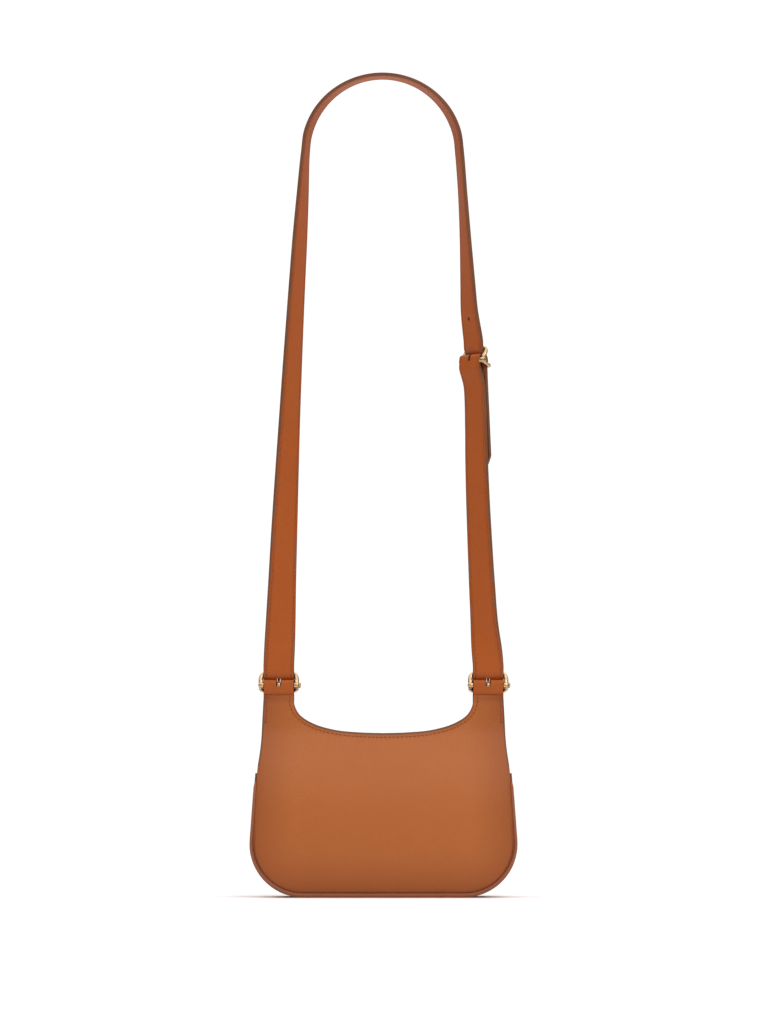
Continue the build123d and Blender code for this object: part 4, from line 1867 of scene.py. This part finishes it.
@dataclass
class BarTab:
    """Leather folded round an ear buckle's bar, with a slot for the prong, in millimetres but for x."""

    finishes: Finishes
    name: str
    x: float
    course: StrapCourse
    half_width: float = 10.1
    wall: float = 1.1
    fold: float = 2.42
    rise: float = 3.75
    flat_y: float = 1.08
    slot_half: float = 1.95
    slot_reach: float = 5.6

    def build(self) -> None:
        """Make the tab."""
        bend = [Vector((0, self.fold * math.cos(a) - 0.5 * math.sin(a), self.rise * math.sin(a)))
                for a in even(math.pi + 0.1, -0.1, 16)]
        line = [Vector((0, -self.flat_y, z)) for z in (-25.8, -16.0, -9.0)]
        line += [Vector((0, -1.25, -6.0)), Vector((0, -1.9, -2.6)), *bend]
        line += [Vector((0, 1.9, -2.6)), Vector((0, 1.25, -6.0))]
        line += [Vector((0, self.flat_y, z)) for z in (-9.0, -16.0, -25.8)]
        route = Route(smooth_points(line, 6))
        middle = route.length / 2
        columns = even(-self.half_width, self.half_width, 36)
        blank = Blank(columns, even(0.0, route.length, 110))
        blank.cut(lambda a, s: abs(a) < self.slot_half and abs(s - middle) < self.slot_reach)
        blank.thicken(0.01)

        def place(a: float, s: float, depth: float) -> Vector:
            """Put a flat point on the folded tab.

            Args:
                a: place across.
                s: distance along.
                depth: 0 on the good face, more on the other.

            Returns:
                The point's place.
            """
            along = route.heading(s, 0.25)
            out = Vector((0.0, -along.z, along.y))
            inside = self.wall if depth > 0.005 else 0.0
            return (route.at(s) - out * inside + Vector((a, 0.0, 0.0))) * MM

        blank.lay(place)
        move = Vector((self.x, 0.0, self.course.bar_z))
        bmesh.ops.translate(blank.mesh, vec=move, verts=blank.mesh.verts)
        blank.soften(0.22 * MM)
        piece = make_piece(f"{self.name}_tab_leather", blank.mesh,
                           [self.finishes.strap, self.finishes.edge, self.finishes.strap])
        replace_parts(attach(piece, "bag"), f"{self.name}_bar_tab")


# ---------------------------------------------------------------- carried-over pieces and studio


def dress_frame_nodes(finishes: Finishes) -> None:
    """Give the stiff inner pieces and the snap their finishes.

    Args:
        finishes: the bag's finishes.
    """
    plan = {
        finishes.edge: ("top_core",),
        finishes.lining: ("base_board",),
        finishes.snap: ("snap_socket", "snap_socket_washer", "snap_magnet", "snap_magnet_washer"),
    }
    for material, names in plan.items():
        for name in names:
            for place in frame["nodes"][name].material_slots:
                place.material = material
            LOG.info("dressed %s", name)


@dataclass
class Studio:
    """Pale floor, soft light and the camera, in metres and watts."""

    floor_half: float = 1.7
    floor_drop: float = 0.0002
    room_glow: float = 0.42
    backdrop_glow: float = 1.05
    ceiling_height: float = 3.6
    ceiling_size: float = 8.0
    ceiling_watts: float = 270.0
    box_place: tuple[float, float, float] = (0.6, -1.5, 1.5)
    box_aim: tuple[float, float, float] = (0, 0, 0.12)
    box_size: float = 0.9
    box_watts: float = 9.0
    camera_place: tuple[float, float, float] = (0.0, -3.4, 0.09)
    camera_aim: tuple[float, float, float] = (0.0, 0.0, 0.2623)
    field: float = 0.7004
    sensor_mm: float = 36.0

    def build(self) -> None:
        """Make the studio."""
        self.floor()
        self.lights()
        self.camera()
        bpy.context.scene.view_settings.view_transform = "Standard"

    def floor(self) -> None:
        """Pale floor."""
        mesh = bmesh.new()
        bmesh.ops.create_grid(mesh, x_segments=4, y_segments=4, size=self.floor_half)
        bmesh.ops.translate(mesh, vec=(0, 0, -self.floor_drop), verts=mesh.verts)
        sh = Shader("pale_floor")
        cloud = sh.noise(2.0, 2.0)
        white = sh.surface({
            "Base Color": sh.blend(cloud, (0.93, 0.93, 0.93), (0.95, 0.95, 0.95)),
            "Roughness": cloud * 0.1 + 0.7,
            "Specular IOR Level": 0.2,
        })
        floor = make_piece("floor", mesh, [white])

    def area(self, name: str, place: Sequence[float], aim: Sequence[float], size: float,
             watts: float) -> None:
        """One square soft light.

        Args:
            name: the light's name.
            place: where it stands.
            aim: the point it faces.
            size: its side.
            watts: its power.
        """
        light = bpy.data.lights.new(name, "AREA")
        light.size = size
        light.energy = watts
        lamp = bpy.data.objects.new(name, light)
        lamp.location = place
        lamp.rotation_euler = (Vector(aim) - Vector(place)).to_track_quat("-Z", "Y").to_euler()
        bpy.context.collection.objects.link(lamp)

    def lights(self) -> None:
        """White backdrop, dim surroundings, a wide ceiling light and a soft box."""
        world = bpy.data.worlds.new("white_room")
        world.use_nodes = True
        tree = world.node_tree
        backdrop = tree.nodes["Background"]
        backdrop.inputs[0].default_value = (1, 1, 1, 1)
        path = tree.nodes.new("ShaderNodeLightPath")
        level = tree.nodes.new("ShaderNodeMapRange")
        level.inputs["To Min"].default_value = self.room_glow
        level.inputs["To Max"].default_value = self.backdrop_glow
        tree.links.new(path.outputs["Is Camera Ray"], level.inputs["Value"])
        tree.links.new(level.outputs[0], backdrop.inputs[1])
        bpy.context.scene.world = world
        self.area("ceiling_light", (0, 0, self.ceiling_height), (0, 0, 0), self.ceiling_size,
                  self.ceiling_watts)
        self.area("soft_box", self.box_place, self.box_aim, self.box_size, self.box_watts)

    def camera(self) -> None:
        """Camera low down in front of the plain back."""
        lens = bpy.data.cameras.new("camera")
        place, aim = Vector(self.camera_place), Vector(self.camera_aim)
        lens.sensor_width = self.sensor_mm
        lens.lens = self.sensor_mm * (aim - place).length / self.field
        camera = bpy.data.objects.new("camera", lens)
        camera.location = place
        camera.rotation_euler = (aim - place).to_track_quat("-Z", "Y").to_euler()
        bpy.context.collection.objects.link(camera)
        bpy.context.scene.camera = camera


def main() -> None:
    """Build the bag and the studio."""
    logging.basicConfig(level=logging.INFO, format="%(message)s")
    finishes = Finishes()
    shape = BodyShape()
    course = StrapCourse()
    Body(finishes, shape).build()
    Straps(finishes, course).build()
    for side, name in ((-1, "left"), (1, "right")):
        BarTab(finishes, name, side * course.ear_x, course).build()
        Buckle(finishes, name, course.at_ear(side, 0.0, 0.0), 0.0).build()
    Buckle(finishes, "strap", course.buckle, course.buckle_turn, ring_width=1.9).build()
    dress_frame_nodes(finishes)
    Studio().build()


if __name__ == "__main__":
    main()
